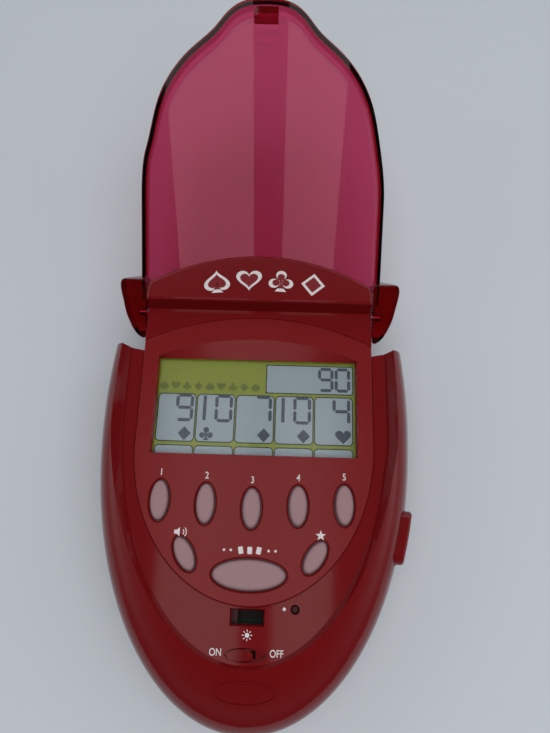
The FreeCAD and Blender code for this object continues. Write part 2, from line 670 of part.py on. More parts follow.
def make_front_housing():
    outer = dome().cut(pocket()).cut(head_cut()).fuse(oval_ring()).fuse(neck_form())
    hollow = dome(WALL, WALL).cut(pocket(FLOOR_WALL, FLOOR_WALL)).cut(head_cut(WALL))
    hollow = hollow.fuse(under_floor_space()).fuse(neck_hollow())
    hollow = hollow.cut(panel_solid(LEDGE_OUT, LEDGE_UNDER_Z, FLOOR_Z))
    for piece in front_bosses():
        hollow = hollow.cut(piece)
    housing = outer.cut(hollow)
    cuts = [panel_solid(PANEL_SEAM, PANEL_UNDER_Z, FACE_Z + 1.0),
            panel_solid(-LEDGE_IN, LEDGE_UNDER_Z - 1.0, PANEL_UNDER_Z + 1.0),
            slot_solid(0.0, LEDGE_UNDER_Z - 1.0, FACE_Z), slot_bevel(),
            cylinder(RESET_RADIUS + RESET_GAP, RESET_X, RESET_Y, LEDGE_UNDER_Z - 1.0, FACE_Z),
            oval(SWITCH_RECESS[0], SWITCH_RECESS[1], 0.0, SWITCH_Y, FLOOR_Z - SWITCH_RECESS_DEPTH, CREASE_Z),
            button_window(SLIDING_GAP, BUTTON_ROOT_X)]
    stem_run = abs(KNOB_X) + KNOB_STEM[0] + SLIDING_GAP
    stem_side = KNOB_STEM[1] + SLIDING_GAP
    cuts.append(box(-stem_run, stem_run, SWITCH_Y - stem_side, SWITCH_Y + stem_side,
                    FLOOR_UNDER_Z - 1.0, FLOOR_Z))
    pin_bore = PIN_RADIUS + PRESS_GAP
    cuts += both_sides(bar_along_x(pin_bore, PIN_INNER_X, NECK_HALF_WIDTH + 1.0, AXIS_Y, AXIS_Z))
    for x, y in SCREW_PLACES:
        cuts += both_sides(cylinder(SCREW_RADIUS + PRESS_GAP, x, y, PARTING_Z - 1.0,
                                    SCREW_SEAT_Z + SCREW_LENGTH + SCREW_END_ROOM))
    for y in BOARD_SCREW_YS:
        cuts += both_sides(cylinder(BOARD_SCREW_RADIUS + PRESS_GAP, BOARD_SCREW_X, y, BOARD_TOP_Z - 1.0,
                                    BOARD_UNDER_Z + BOARD_SCREW_LENGTH + SCREW_END_ROOM))
    for piece in cuts:
        housing = housing.cut(piece)
    return housing


def bay_box(grow, z0, z1):
    half_x = BAY_HALF_LENGTH + grow
    half_y = CELL_PITCH + CELL_RADIUS + BAY_MARGIN + grow
    return box(-half_x, half_x, BAY_CENTRE_Y - half_y, BAY_CENTRE_Y + half_y, z0, z1)


def door_box(grow, z0, z1):
    """Footprint of the battery door and its tongue."""
    half_y = CELL_PITCH + CELL_RADIUS + BAY_MARGIN + DOOR_LIP + grow
    foot_y = BAY_CENTRE_Y - half_y
    plate = box(-BAY_HALF_LENGTH - DOOR_LIP - grow, BAY_HALF_LENGTH + DOOR_LIP + grow, foot_y,
                BAY_CENTRE_Y + half_y, z0, z1)
    tongue = box(-DOOR_TONGUE[0] - grow, DOOR_TONGUE[0] + grow, foot_y - DOOR_TONGUE[1], foot_y + 1.0, z0, z1)
    return plate.fuse(tongue)


def sound_holes():
    holes = [cylinder(SOUND_HOLE_RADIUS, 0.0, SOUNDER_Y, -1.0, WALL + 1.0)]
    for k in range(SOUND_HOLES):
        angle = 2.0 * math.pi * k / SOUND_HOLES
        holes.append(cylinder(SOUND_HOLE_RADIUS, SOUND_HOLE_RING * math.cos(angle),
                              SOUNDER_Y + SOUND_HOLE_RING * math.sin(angle), -1.0, WALL + 1.0))
    return holes


def make_rear_housing():
    outer = back_form().cut(head_cut()).fuse(neck_back())
    hollow = back_form(WALL, WALL).cut(head_cut(WALL)).fuse(neck_back(WALL, WALL))
    seat = cylinder(SOUNDER_RADIUS - OVERLAP, 0.0, SOUNDER_Y, 0.0, WALL + SOUNDER_SEAT_HEIGHT)
    seat = seat.cut(cylinder(SOUNDER_RADIUS - SOUNDER_SEAT_WIDTH, 0.0, SOUNDER_Y, 0.0, PARTING_Z))
    keep = [bay_box(BAY_WALL, 0.0, BAY_ROOF_Z + BAY_WALL), seat]
    bay_foot_y = BAY_CENTRE_Y - CELL_PITCH - CELL_RADIUS - BAY_MARGIN
    keep.append(cylinder(DOOR_POST_RADIUS, 0.0, DOOR_SCREW_Y, DOOR_TOP_Z + SLIDING_GAP, DOOR_POST_TOP_Z))
    keep.append(box(-DOOR_SCREW_RADIUS, DOOR_SCREW_RADIUS, DOOR_SCREW_Y, bay_foot_y,
                    DOOR_TOP_Z + SLIDING_GAP, DOOR_POST_TOP_Z))
    for x, y in SCREW_PLACES:
        keep += both_sides(cylinder(POST_RADIUS, x, y, 0.0, PARTING_Z))
    for piece in keep:
        hollow = hollow.cut(piece)
    housing = outer.cut(hollow)
    cuts = [bay_box(0.0, -1.0, BAY_ROOF_Z), door_box(SLIDING_GAP, -1.0, DOOR_TOP_Z + SLIDING_GAP)]
    for x in (DOOR_TAB_X, -DOOR_TAB_X):
        half = DOOR_TAB_HALF + SLIDING_GAP
        cuts.append(box(x - half, x + half, DOOR_PIVOT_Y - 0.5, DOOR_TAB_END_Y + SLIDING_GAP,
                        DOOR_TOP_Z - DOOR_TAB_THICK - SLIDING_GAP, DOOR_TAB_SLOT_Z))
    cuts.append(cylinder(DOOR_SCREW_RADIUS + DOOR_SCREW_SWING, 0.0, DOOR_SCREW_Y, 0.0,
                         DOOR_TOP_Z + DOOR_SCREW_RISE + SCREW_END_ROOM))
    leg_half = CONTACT_LEG / 2.0 + SCREW_GAP
    for sign in (1.0, -1.0):
        x = sign * (BAY_HALF_LENGTH - CONTACT_THICK / 2.0)
        y = BAY_CENTRE_Y + sign * CELL_PITCH
        cuts.append(box(x - CONTACT_THICK, x + CONTACT_THICK, y - leg_half, y + leg_half,
                        BAY_ROOF_Z - 1.0, PARTING_Z))
    cuts += sound_holes()
    for x, y in SCREW_PLACES:
        cuts += both_sides(cylinder(SCREW_RADIUS + SCREW_GAP, x, y, -1.0, PARTING_Z + 1.0))
        cuts += both_sides(cylinder(SCREW_HEAD_RADIUS + SCREW_GAP, x, y, -1.0, SCREW_SEAT_Z))
    for piece in cuts:
        housing = housing.cut(piece)
    return housing


def make_face_panel():
    panel = panel_solid(0.0, PANEL_UNDER_Z, FACE_Z)
    top_rim = edges_where(panel, lambda b: b.ZMin > FACE_Z - 0.01)
    panel = panel.makeFillet(PANEL_EDGE_ROUND, top_rim)
    lower = arched_ring(SCREEN_HALF_WIDTH, SCREEN_TOP_Y + 0.1, 50.0 * SCREEN_ARCH_RADIUS, SCREEN_FOOT_Y,
                        PANEL_UNDER_Z)
    upper = arched_ring(SCREEN_HALF_WIDTH + SCREEN_SLOPE, SCREEN_ARCH_Y, SCREEN_ARCH_RADIUS,
                        SCREEN_FOOT_Y - SCREEN_SLOPE, FACE_Z)
    panel = panel.cut(Part.makeLoft([lower, upper], True, True))
    for _, size, x, y, turn in key_places():
        half_x, half_y = size[0] + KEY_GAP, size[1] + KEY_GAP
        low = oval_wire(half_x, half_y, x, y, FACE_Z - KEY_MOUTH, turn)
        high = oval_wire(half_x + KEY_MOUTH, half_y + KEY_MOUTH, x, y, FACE_Z, turn)
        panel = panel.cut(oval(half_x, half_y, x, y, PANEL_UNDER_Z, FACE_Z, turn))
        panel = panel.cut(Part.makeLoft([low, high], True, True))
    return panel


def make_key(size, x, y, turn, top_z, flange):
    cap = oval(size[0], size[1], 0.0, 0.0, KEY_UNDER_Z, top_z)
    rim = edges_where(cap, lambda b: b.ZMin > top_z - 0.01)
    cap = cap.makeFillet(KEY_ROUND, rim)
    top = PANEL_UNDER_Z - SLIDING_GAP
    cap = cap.fuse(oval(size[0] + flange, size[1] + flange, 0.0, 0.0, top - KEY_FLANGE_THICK, top))
    cap.rotate(V(0, 0, 0), V(0, 0, 1), turn)
    cap.translate(V(x, y, 0))
    return cap


def make_reset_key():
    stem = cylinder(RESET_RADIUS, RESET_X, RESET_Y, KEY_UNDER_Z, RESET_TOP_Z)
    top = edges_where(stem, lambda b: b.ZMin > RESET_TOP_Z - 0.01)
    stem = stem.makeFillet(RESET_ROUND, top)
    return stem.fuse(cylinder(RESET_FLANGE_RADIUS, RESET_X, RESET_Y, KEY_UNDER_Z, RESET_FLANGE_Z))


def make_key_mat():
    outline = ((-MAT_HALF_WIDTH, MAT_TOP_Y), (-MAT_HALF_WIDTH, MAT_WAIST_Y), (-MAT_TONGUE, MAT_WAIST_Y),
               (-MAT_TONGUE, MAT_FOOT_Y), (MAT_TONGUE, MAT_FOOT_Y), (MAT_TONGUE, MAT_WAIST_Y),
               (MAT_HALF_WIDTH, MAT_WAIST_Y), (MAT_HALF_WIDTH, MAT_TOP_Y))
    mat = prism(outline, BOARD_TOP_Z, MAT_TOP_Z)
    places = [key[2:4] for key in key_places()] + [(RESET_X, RESET_Y)]
    height = MAT_DOME_Z - BOARD_TOP_Z
    for x, y in places:
        mat = mat.fuse(Part.makeCone(DOME_RADIUS + DOME_FLARE, DOME_RADIUS, height, V(x, y, BOARD_TOP_Z)))
    return mat


def make_board():
    outline = ((-BOARD_WAIST, BOARD_HEAD_Y), (-BOARD_WAIST, BOARD_SHOULDER_Y),
               (-BOARD_HALF_WIDTH, BOARD_SHOULDER_Y), (-BOARD_HALF_WIDTH, BOARD_WAIST_Y),
               (-BOARD_WAIST, BOARD_WAIST_Y - BOARD_TAPER), (-BOARD_WAIST, BOARD_TONGUE_Y),
               (-BOARD_TONGUE, BOARD_TONGUE_Y), (-BOARD_TONGUE, BOARD_FOOT_Y))
    board = prism(outline + tuple((-x, y) for x, y in reversed(outline)), BOARD_UNDER_Z, BOARD_TOP_Z)
    hole_radius = BOARD_SCREW_RADIUS + SCREW_GAP
    for y in BOARD_SCREW_YS:
        for hole in both_sides(cylinder(hole_radius, BOARD_SCREW_X, y, BOARD_UNDER_Z, BOARD_TOP_Z)):
            board = board.cut(hole)
    return board


def make_chip():
    blob = Part.makeSphere(CHIP_BALL, V(CHIP_X, CHIP_Y, BOARD_UNDER_Z - CHIP_HEIGHT + CHIP_BALL))
    return blob.common(box(-FAR, FAR, -FAR, FAR, 0.0, BOARD_UNDER_Z))


def make_capacitor(y):
    z = BOARD_UNDER_Z - CAPACITOR_RADIUS
    can = bar_along_x(CAPACITOR_RADIUS, CAPACITOR_X, CAPACITOR_X + CAPACITOR_LENGTH, y, z)
    groove_x = CAPACITOR_X + CAPACITOR_GROOVE[0]
    groove = bar_along_x(CAPACITOR_RADIUS + 1.0, groove_x, groove_x + CAPACITOR_GROOVE[1], y, z)
    core_radius = CAPACITOR_RADIUS - CAPACITOR_GROOVE[2]
    core = bar_along_x(core_radius, CAPACITOR_X, CAPACITOR_X + CAPACITOR_LENGTH, y, z)
    can = can.cut(groove.cut(core))
    end_x = CAPACITOR_X - LEAD_REACH
    half = LEAD_THICK / 2.0
    for side in (-LEAD_SPREAD, LEAD_SPREAD):
        y0, y1 = y + side - half, y + side + half
        can = can.fuse(box(end_x, CAPACITOR_X + OVERLAP, y0, y1, z - half, z + half))
        can = can.fuse(box(end_x, end_x + LEAD_THICK, y0, y1, z - half, BOARD_UNDER_Z))
    return can


def make_display_frame():
    outer = box(-GLASS_HALF - FRAME_WALL - STACK_GAP, GLASS_HALF + FRAME_WALL + STACK_GAP,
                GLASS_FOOT_Y - FRAME_WALL - STACK_GAP, GLASS_HEAD_Y + FRAME_WALL + STACK_GAP,
                BOARD_TOP_Z, GLASS_TOP_Z)
    return outer.cut(box(-GLASS_HALF - STACK_GAP, GLASS_HALF + STACK_GAP, GLASS_FOOT_Y - STACK_GAP,
                         GLASS_HEAD_Y + STACK_GAP, 0.0, FAR))


def make_display_window():
    half_x = SCREEN_HALF_WIDTH + WINDOW_MARGIN
    return box(-half_x, half_x, SCREEN_FOOT_Y - WINDOW_MARGIN, SCREEN_TOP_Y + WINDOW_MARGIN,
               WINDOW_UNDER_Z, PANEL_UNDER_Z)


def make_display_glass():
    """Two panes, the lower one a little shorter."""
    half_z = (GLASS_TOP_Z + GLASS_UNDER_Z) / 2.0
    upper = box(-GLASS_HALF, GLASS_HALF, GLASS_FOOT_Y, GLASS_HEAD_Y, half_z, GLASS_TOP_Z)
    lower = box(-GLASS_HALF, GLASS_HALF, GLASS_FOOT_Y + GLASS_STEP, GLASS_HEAD_Y - GLASS_STEP,
                GLASS_UNDER_Z, half_z)
    return upper.fuse(lower)


def make_light_guide():
    return box(-GLASS_HALF, LAMP_X, GUIDE_FOOT_Y, GUIDE_HEAD_Y, BOARD_TOP_Z, GLASS_UNDER_Z)


def make_lamp(y):
    x0 = LAMP_X + STACK_GAP
    half = LAMP_WIDTH / 2.0
    return box(x0, x0 + LAMP_LENGTH, y - half, y + half, BOARD_TOP_Z, BOARD_TOP_Z + LAMP_HEIGHT)


def make_contact_strip(y):
    half_x = GLASS_HALF - STRIP_INSET
    return box(-half_x, half_x, y, y + STRIP_WIDTH, BOARD_TOP_Z, GLASS_UNDER_Z)


def strip_along(points, half_width, z0, z1):
    """Flat bar that follows a path of straight runs with round joints."""
    body = None
    for (xa, ya), (xb, yb) in zip(points, points[1:]):
        length = math.hypot(xb - xa, yb - ya)
        sx = -(yb - ya) / length * half_width
        sy = (xb - xa) / length * half_width
        run = prism(((xa + sx, ya + sy), (xb + sx, yb + sy), (xb - sx, yb - sy), (xa - sx, ya - sy)), z0, z1)
        run = run.fuse(cylinder(half_width, xb, yb, z0, z1))
        body = run if body is None else body.fuse(run)
    return body


def make_latch_slide():
    frame = box(LATCH_END_X, LATCH_RIGHT_X + LATCH_RIM, SLOT_Y - LATCH_WINDOW - LATCH_SIDE,
                SLOT_Y + LATCH_WINDOW + LATCH_SIDE, LATCH_UNDER_Z, LATCH_TOP_Z)
    slide = frame.fuse(strip_along(LATCH_PATH, LATCH_ARM / 2.0, LATCH_UNDER_Z, LATCH_TOP_Z))
    window = box(LATCH_LEFT_X, LATCH_RIGHT_X, SLOT_Y - LATCH_WINDOW, SLOT_Y + LATCH_WINDOW, 0.0, FAR)
    inset = WALL + BUTTON_FLANGE[1] + PRESS_GAP
    return slide.cut(window).common(dome(inset, inset))


def make_latch_spring():
    start = V(RIB_X, SLOT_Y, SPRING_Z)
    return coil(SPRING_RADIUS, SPRING_WIRE, SPRING_LENGTH, SPRING_TURNS, start, V(1, 0, 0))


def make_release_button():
    root = dome(WALL + BUTTON_FLANGE[1], WALL + BUTTON_FLANGE[1])
    right_side = box(0.0, FAR, -FAR, FAR, 0.0, FAR)
    cap = dome(-BUTTON_PROUD, -BUTTON_PROUD).common(button_window(0.0, 0.0)).cut(root).common(right_side)
    skin = max(cap.Faces, key=lambda face: face.CenterOfMass.x)
    cap = cap.makeFillet(BUTTON_ROUND, skin.Edges)
    inset = WALL + BUTTON_FLANGE[0]
    flange = dome(inset, inset).common(button_window(BUTTON_FLANGE[2], 0.0))
    flange = flange.cut(root).common(box(0.0, FAR, -FAR, FAR, 0.0, FLOOR_UNDER_Z - BUTTON_TOP_GAP))
    return cap.fuse(flange)


def make_switch_knob():
    floor_z = FLOOR_Z - SWITCH_RECESS_DEPTH + STACK_GAP
    top_z = FLOOR_Z + KNOB_PROUD
    knob = oval(KNOB[0], KNOB[1], KNOB_X, SWITCH_Y, floor_z, top_z)
    half = KNOB_GROOVE[0] / 2.0
    for k in range(KNOB_GROOVES):
        x = KNOB_X + (k - (KNOB_GROOVES - 1) / 2.0) * KNOB_GROOVE_PITCH
        knob = knob.cut(box(x - half, x + half, SWITCH_Y - KNOB[1], SWITCH_Y + KNOB[1],
                            top_z - KNOB_GROOVE[1], top_z))
    stem = box(KNOB_X - KNOB_STEM[0], KNOB_X + KNOB_STEM[0], SWITCH_Y - KNOB_STEM[1], SWITCH_Y + KNOB_STEM[1],
               SWITCH_TOP_Z - SWITCH_SLOT + SLIDING_GAP, floor_z + OVERLAP)
    return knob.fuse(stem)


def make_switch_body():
    shell = box(-SWITCH_BODY[0], SWITCH_BODY[0], SWITCH_Y - SWITCH_BODY[1], SWITCH_Y + SWITCH_BODY[1],
                BOARD_TOP_Z, SWITCH_TOP_Z)
    run = abs(KNOB_X) + KNOB_STEM[0] + SLIDING_GAP
    side = KNOB_STEM[1] + SLIDING_GAP
    low_z = SWITCH_TOP_Z - SWITCH_SLOT
    return shell.cut(box(-run, run, SWITCH_Y - side, SWITCH_Y + side, low_z, SWITCH_TOP_Z))


def place_lid(shape):
    """From the lid's own plane (X, distance, height) to its open place on the body."""
    closed = shape.mirror(V(0, 0, 0), V(0, 1, 0))
    closed.rotate(V(0, 0, 0), V(1, 0, 0), LID_TILT - 180.0)
    closed.translate(V(0, AXIS_Y, AXIS_Z))
    return closed


def spline_through(points, z, closed=False, start=None, end=None):
    curve = Part.BSplineCurve()
    places = [V(x, y, z) for x, y in points]
    if closed:
        curve.interpolate(Points=places, PeriodicFlag=True)
    elif start is None:
        curve.interpolate(places)
    else:
        curve.interpolate(Points=places, InitialTangent=start, FinalTangent=end)
    return curve.toShape()


def lid_ring(h, inset=0.0, start_d=LID_START):
    """Outline of the lid: two straight sides from the hinge, then the bulged nose."""
    nose = [(LID_HALF_WIDTH, LID_STRAIGHT)] + [(w, d) for d, w in LID_EDGE] + [(0.0, LID_REACH)]
    nose += [(-w, d) for d, w in reversed(LID_EDGE)] + [(-LID_HALF_WIDTH, LID_STRAIGHT)]
    ends = [(LID_HALF_WIDTH, 0.0)] + nose + [(-LID_HALF_WIDTH, 0.0)]
    half = LID_HALF_WIDTH - inset
    nose = [(half, LID_STRAIGHT)] + inset_points(ends, inset)[2:-2] + [(-half, LID_STRAIGHT)]
    curve = spline_through(nose, h, False, V(0, 40.0, 0), V(0, -40.0, 0))
    corners = [V(half, LID_STRAIGHT, h), V(half, start_d, h), V(-half, start_d, h), V(-half, LID_STRAIGHT, h)]
    edges = [curve] + [Part.makeLine(corners[k + 1], corners[k]) for k in range(3)]
    return Part.Wire(Part.__sortEdges__(edges))


def inset_points(points, inset):
    """Points of a closed outline moved inwards along their corner bisectors."""
    area = sum(x0 * y1 - x1 * y0 for (x0, y0), (x1, y1) in zip(points, points[1:] + points[:1]))
    sign = 1.0 if area > 0.0 else -1.0
    moved = []
    count = len(points)
    for k in range(count):
        before, here, after = points[k - 1], points[k], points[(k + 1) % count]
        a = math.hypot(here[0] - before[0], here[1] - before[1])
        b = math.hypot(after[0] - here[0], after[1] - here[1])
        n0 = (-(here[1] - before[1]) / a * sign, (here[0] - before[0]) / a * sign)
        n1 = (-(after[1] - here[1]) / b * sign, (after[0] - here[0]) / b * sign)
        scale = inset / (1.0 + n0[0] * n1[0] + n0[1] * n1[1])
        moved.append((here[0] + (n0[0] + n1[0]) * scale, here[1] + (n0[1] + n1[1]) * scale))
    return moved


def smooth_prism(points, z0, z1):
    ring = Part.Wire(spline_through(points, z0, True))
    return Part.Face(ring).extrude(V(0, 0, z1 - z0))


def ear_solid():
    """Solid ear: its outline along the lid's plane, cut to its side view."""
    side_view = smooth_prism(EAR_PROFILE, EAR_INNER - EAR_SPAN, EAR_INNER + EAR_SPAN)
    side_view.rotate(V(0, 0, 0), V(1, 0, 0), 90.0)
    side_view.rotate(V(0, 0, 0), V(0, 0, 1), 90.0)
    outline = [(x + EAR_INNER, d) for x, d in EAR_OUTLINE]
    return smooth_prism(outline, -EAR_SPAN, EAR_SPAN).common(side_view)


def make_lid():
    outer_ring = lid_ring(LID_RIM_H)
    outer = Part.Face(outer_ring).extrude(V(0, 0, LID_TOP_H - LID_RIM_H))
    top_rim = edges_where(outer, lambda b: b.ZMin > LID_TOP_H - 0.01 and not (b.YMax < LID_START + 0.01))
    outer = outer.makeFillet(LID_ROUND, top_rim)
    inner_half = LID_HALF_WIDTH - LID_WALL
    cavity = Part.Face(lid_ring(LID_RIM_H - 1.0, LID_WALL, -LID_START)).extrude(
        V(0, 0, LID_TOP_H - LID_PLATE - LID_RIM_H + 1.0))
    lid = outer.cut(cavity)
    reach = arched_solid(inner_half, LID_ARCH_D, LID_ARCH_RADIUS, -FAR, LID_RIM_H - 1.0, LID_TOP_H + 1.0)
    lid = lid.cut(reach)
    for ear in both_sides(ear_solid()):
        lid = lid.fuse(ear)
    pin_end = EAR_INNER + EAR_PIN_DEPTH + SLIDING_GAP
    for hole in both_sides(bar_along_x(PIN_RADIUS + PIN_GAP, 0.0, pin_end, 0.0, 0.0)):
        lid = lid.cut(hole)
    return place_lid(lid.fuse(make_lid_tab()))


def make_lid_tab():
    """Tab that leans in from the tip wall, drops into the latch slot and is notched for the latch."""
    notch_low = LATCH_UNDER_Z - AXIS_Z - SLIDING_GAP
    notch_high = LATCH_TOP_Z - AXIS_Z + SLIDING_GAP
    top = LID_TOP_H - LID_PLATE + OVERLAP
    x = TAB_HALF_WIDTH
    front_view = ((-x, top), (-x, notch_high), (-x + TAB_NOTCH, notch_high), (-x + TAB_NOTCH, notch_low),
                  (-x, notch_low), (-x + TAB_LEAD, TAB_END_H), (x, TAB_END_H), (x, top))
    outline = Part.makePolygon([V(px, 0, pz) for px, pz in front_view + front_view[:1]])
    near_d = TAB_D - TAB_THICK / 2.0
    far_d = TAB_D + TAB_THICK / 2.0
    wall_d = LID_REACH - LID_WALL + OVERLAP
    side_view = ((TAB_ROOT_D, top), (wall_d, top), (far_d, TAB_BEND_H),
                 (far_d, TAB_END_H), (near_d, TAB_END_H), (near_d, TAB_BEND_H))
    return Part.Face(outline).extrude(V(0, FAR + LID_REACH, 0)).common(prism_along_x(side_view, -x, x))


def make_hinge_pin(side):
    pin = bar_along_x(PIN_RADIUS, PIN_INNER_X, PIN_INNER_X + PIN_LENGTH, AXIS_Y, AXIS_Z)
    return both_sides(pin)[side]


def cell_offset(row):
    return 1.0 if row % 2 == 0 else -1.0


def cell_y(row):
    return BAY_CENTRE_Y + (1 - row) * CELL_PITCH


def make_cell(row):
    """Cell with its nub against the flat contact."""
    end_x = BAY_HALF_LENGTH - CONTACT_THICK
    body = bar_along_x(CELL_RADIUS, end_x - CELL_NUB[1] - CELL_LENGTH, end_x - CELL_NUB[1], 0.0, CELL_Z)
    ends = edges_where(body, lambda b: b.XLength < 0.01)
    body = body.makeFillet(CELL_ROUND, ends)
    cell = body.fuse(bar_along_x(CELL_NUB[0], end_x - CELL_NUB[1] - OVERLAP, end_x, 0.0, CELL_Z))
    return turn_for_row(cell, row)


def turn_for_row(shape, row):
    turned = shape.copy()
    if cell_offset(row) < 0.0:
        turned.rotate(V(0, 0, 0), V(0, 0, 1), 180.0)
    turned.translate(V(0, cell_y(row), 0))
    return turned


def contact_plate(x0, leg):
    x1 = x0 + CONTACT_THICK
    plate = box(x0, x1, -CONTACT_HALF, CONTACT_HALF, CELL_Z - CONTACT_HALF, CELL_Z + CONTACT_HALF)
    if leg:
        plate = plate.fuse(box(x0, x1, -CONTACT_LEG / 2.0, CONTACT_LEG / 2.0, CELL_Z, BOARD_UNDER_Z))
    return plate


def make_flat_contact(row):
    return turn_for_row(contact_plate(BAY_HALF_LENGTH - CONTACT_THICK, row == 0), row)


def make_spring_contact(row):
    end_x = BAY_HALF_LENGTH - CONTACT_THICK
    cell_end = end_x - CELL_NUB[1] - CELL_LENGTH
    plate = contact_plate(-BAY_HALF_LENGTH, row == 2)
    length = cell_end + end_x + STACK_GAP
    spring = coil(COIL_RADIUS, COIL_WIRE, length, COIL_TURNS, V(-end_x - STACK_GAP, 0, CELL_Z), V(1, 0, 0))
    return turn_for_row(plate.fuse(spring), row)


def make_battery_door():
    door = door_box(0.0, DOOR_SUNK, DOOR_TOP_Z)
    radius = DOOR_THICK / 2.0
    half_x = BAY_HALF_LENGTH + DOOR_LIP
    door = door.cut(box(-half_x - 1.0, half_x + 1.0, DOOR_PIVOT_Y, FAR, 0.0, DOOR_TOP_Z + 1.0))
    door = door.fuse(bar_along_x(radius, -half_x, half_x, DOOR_PIVOT_Y, DOOR_PIVOT_Z))
    for x in (DOOR_TAB_X, -DOOR_TAB_X):
        door = door.fuse(box(x - DOOR_TAB_HALF, x + DOOR_TAB_HALF, DOOR_PIVOT_Y, DOOR_TAB_END_Y,
                             DOOR_TOP_Z - DOOR_TAB_THICK, DOOR_TOP_Z))
    door = door.cut(cylinder(DOOR_SCREW_RADIUS + PRESS_GAP, 0.0, DOOR_SCREW_Y, 0.0, DOOR_TOP_Z))
    sink = cylinder(DOOR_SCREW_HEAD[0] + STACK_GAP, 0.0, DOOR_SCREW_Y, 0.0, DOOR_SUNK + DOOR_SCREW_HEAD[1])
    door = door.cut(sink)
    for k in range(DOOR_GRIPS):
        y = DOOR_GRIP_Y + 2.0 * k * DOOR_GRIP_WIDTH
        door = door.cut(box(-DOOR_GRIP_HALF, DOOR_GRIP_HALF, y, y + DOOR_GRIP_WIDTH,
                            0.0, DOOR_SUNK + DOOR_GRIP_DEPTH))
    return door


def cross_slot(x, y, z, reach):
    half = CROSS_WIDTH / 2.0
    top_z = z + CROSS_DEPTH
    bar = box(x - reach, x + reach, y - half, y + half, z, top_z)
    return bar.fuse(box(x - half, x + half, y - reach, y + reach, z, top_z))


def make_screw(x, y, head_z, seat_z, head_radius, radius, end_z):
    """Round-headed screw that points up, with a cross slot in its head."""
    screw = cylinder(head_radius, x, y, head_z, seat_z).fuse(cylinder(radius, x, y, seat_z, end_z))
    return screw.cut(cross_slot(x, y, head_z, head_radius * CROSS_SHARE))


def make_sounder():
    low_z = WALL + SOUNDER_SEAT_HEIGHT
    top_z = low_z + SOUNDER_THICK
    plate = cylinder(SOUNDER_RADIUS, 0.0, SOUNDER_Y, low_z, top_z)
    disc_radius = SOUNDER_RADIUS * SOUNDER_DISC_SHARE
    return plate.fuse(cylinder(disc_radius, 0.0, SOUNDER_Y, low_z, top_z + SOUNDER_DISC_THICK))


def make_sounder_spring(x):
    low_z = WALL + SOUNDER_SEAT_HEIGHT + SOUNDER_THICK + SOUNDER_DISC_THICK
    return coil(SOUNDER_SPRING_RADIUS, SPRING_WIRE, BOARD_UNDER_Z - low_z, SOUNDER_SPRING_TURNS,
                V(x, SOUNDER_Y, low_z), V(0, 0, 1))


def all_parts():
    parts = {
        "front_housing": make_front_housing(),
        "rear_housing": make_rear_housing(),
        "face_panel": make_face_panel(),
        "display_window": make_display_window(),
        "display_glass": make_display_glass(),
        "light_guide": make_light_guide(),
        "lamp_1": make_lamp(GUIDE_MIDDLE_Y + LAMP_SPREAD),
        "lamp_2": make_lamp(GUIDE_MIDDLE_Y - LAMP_SPREAD),
        "contact_strip_1": make_contact_strip(GLASS_HEAD_Y - STRIP_WIDTH - STRIP_GAP),
        "contact_strip_2": make_contact_strip(GLASS_FOOT_Y + STRIP_GAP),
        "display_frame": make_display_frame(),
        "circuit_board": make_board(),
        "chip": make_chip(),
        "key_mat": make_key_mat(),
        "reset_key": make_reset_key(),
        "latch_slide": make_latch_slide(),
        "latch_spring": make_latch_spring(),
        "release_button": make_release_button(),
        "light_knob": make_switch_knob(),
        "light_switch": make_switch_body(),
        "lid": make_lid(),
        "hinge_pin_1": make_hinge_pin(0),
        "hinge_pin_2": make_hinge_pin(1),
        "battery_door": make_battery_door(),
        "door_screw": make_screw(0.0, DOOR_SCREW_Y, DOOR_SUNK, DOOR_SUNK + DOOR_SCREW_HEAD[1],
                                 DOOR_SCREW_HEAD[0], DOOR_SCREW_RADIUS, DOOR_TOP_Z + DOOR_SCREW_RISE),
        "sounder": make_sounder(),
        "sounder_spring_1": make_sounder_spring(-SOUNDER_SPRING_X),
        "sounder_spring_2": make_sounder_spring(SOUNDER_SPRING_X),
    }
    for name, size, x, y, turn in key_places():
        parts[name] = make_key(size, x, y, turn, KEY_TOP_Z, KEY_FLANGE)
    for k, y in enumerate(CAPACITOR_YS):
        parts["capacitor_%d" % (k + 1)] = make_capacitor(y)
    for row in range(3):
        parts["cell_%d" % (row + 1)] = make_cell(row)
        parts["cell_contact_%d" % (row + 1)] = make_flat_contact(row)
        parts["cell_spring_%d" % (row + 1)] = make_spring_contact(row)
    housing_places = [(side, y) for x, y in SCREW_PLACES for side in (x, -x)]
    for k, (x, y) in enumerate(housing_places):
        parts["housing_screw_%d" % (k + 1)] = make_screw(x, y, SCREW_SEAT_Z - SCREW_HEAD_THICK, SCREW_SEAT_Z,
                                                         SCREW_HEAD_RADIUS, SCREW_RADIUS,
                                                         SCREW_SEAT_Z + SCREW_LENGTH)
    board_places = [(x, y) for y in BOARD_SCREW_YS for x in (BOARD_SCREW_X, -BOARD_SCREW_X)]
    for k, (x, y) in enumerate(board_places):
        parts["board_screw_%d" % (k + 1)] = make_screw(x, y, BOARD_UNDER_Z - BOARD_HEAD_THICK, BOARD_UNDER_Z,
                                                       BOARD_HEAD_RADIUS, BOARD_SCREW_RADIUS,
                                                       BOARD_UNDER_Z + BOARD_SCREW_LENGTH)
    return parts


os.makedirs("parts", exist_ok=True)
for part_name, part_shape in all_parts().items():
    if part_name.startswith(("front_housing", "rear_housing", "lid")):
        part_shape = part_shape.removeSplitter()
    part_shape.exportStep("parts/%s.step" % part_name)
    print(part_name, part_shape.isValid(), len(part_shape.Solids), round(part_shape.Volume, 1))
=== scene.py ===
"""Handheld card game with its lid open, lying on a pale table under two long window lights."""
import math

import bpy
import numpy as np
from mathutils import Matrix, Vector


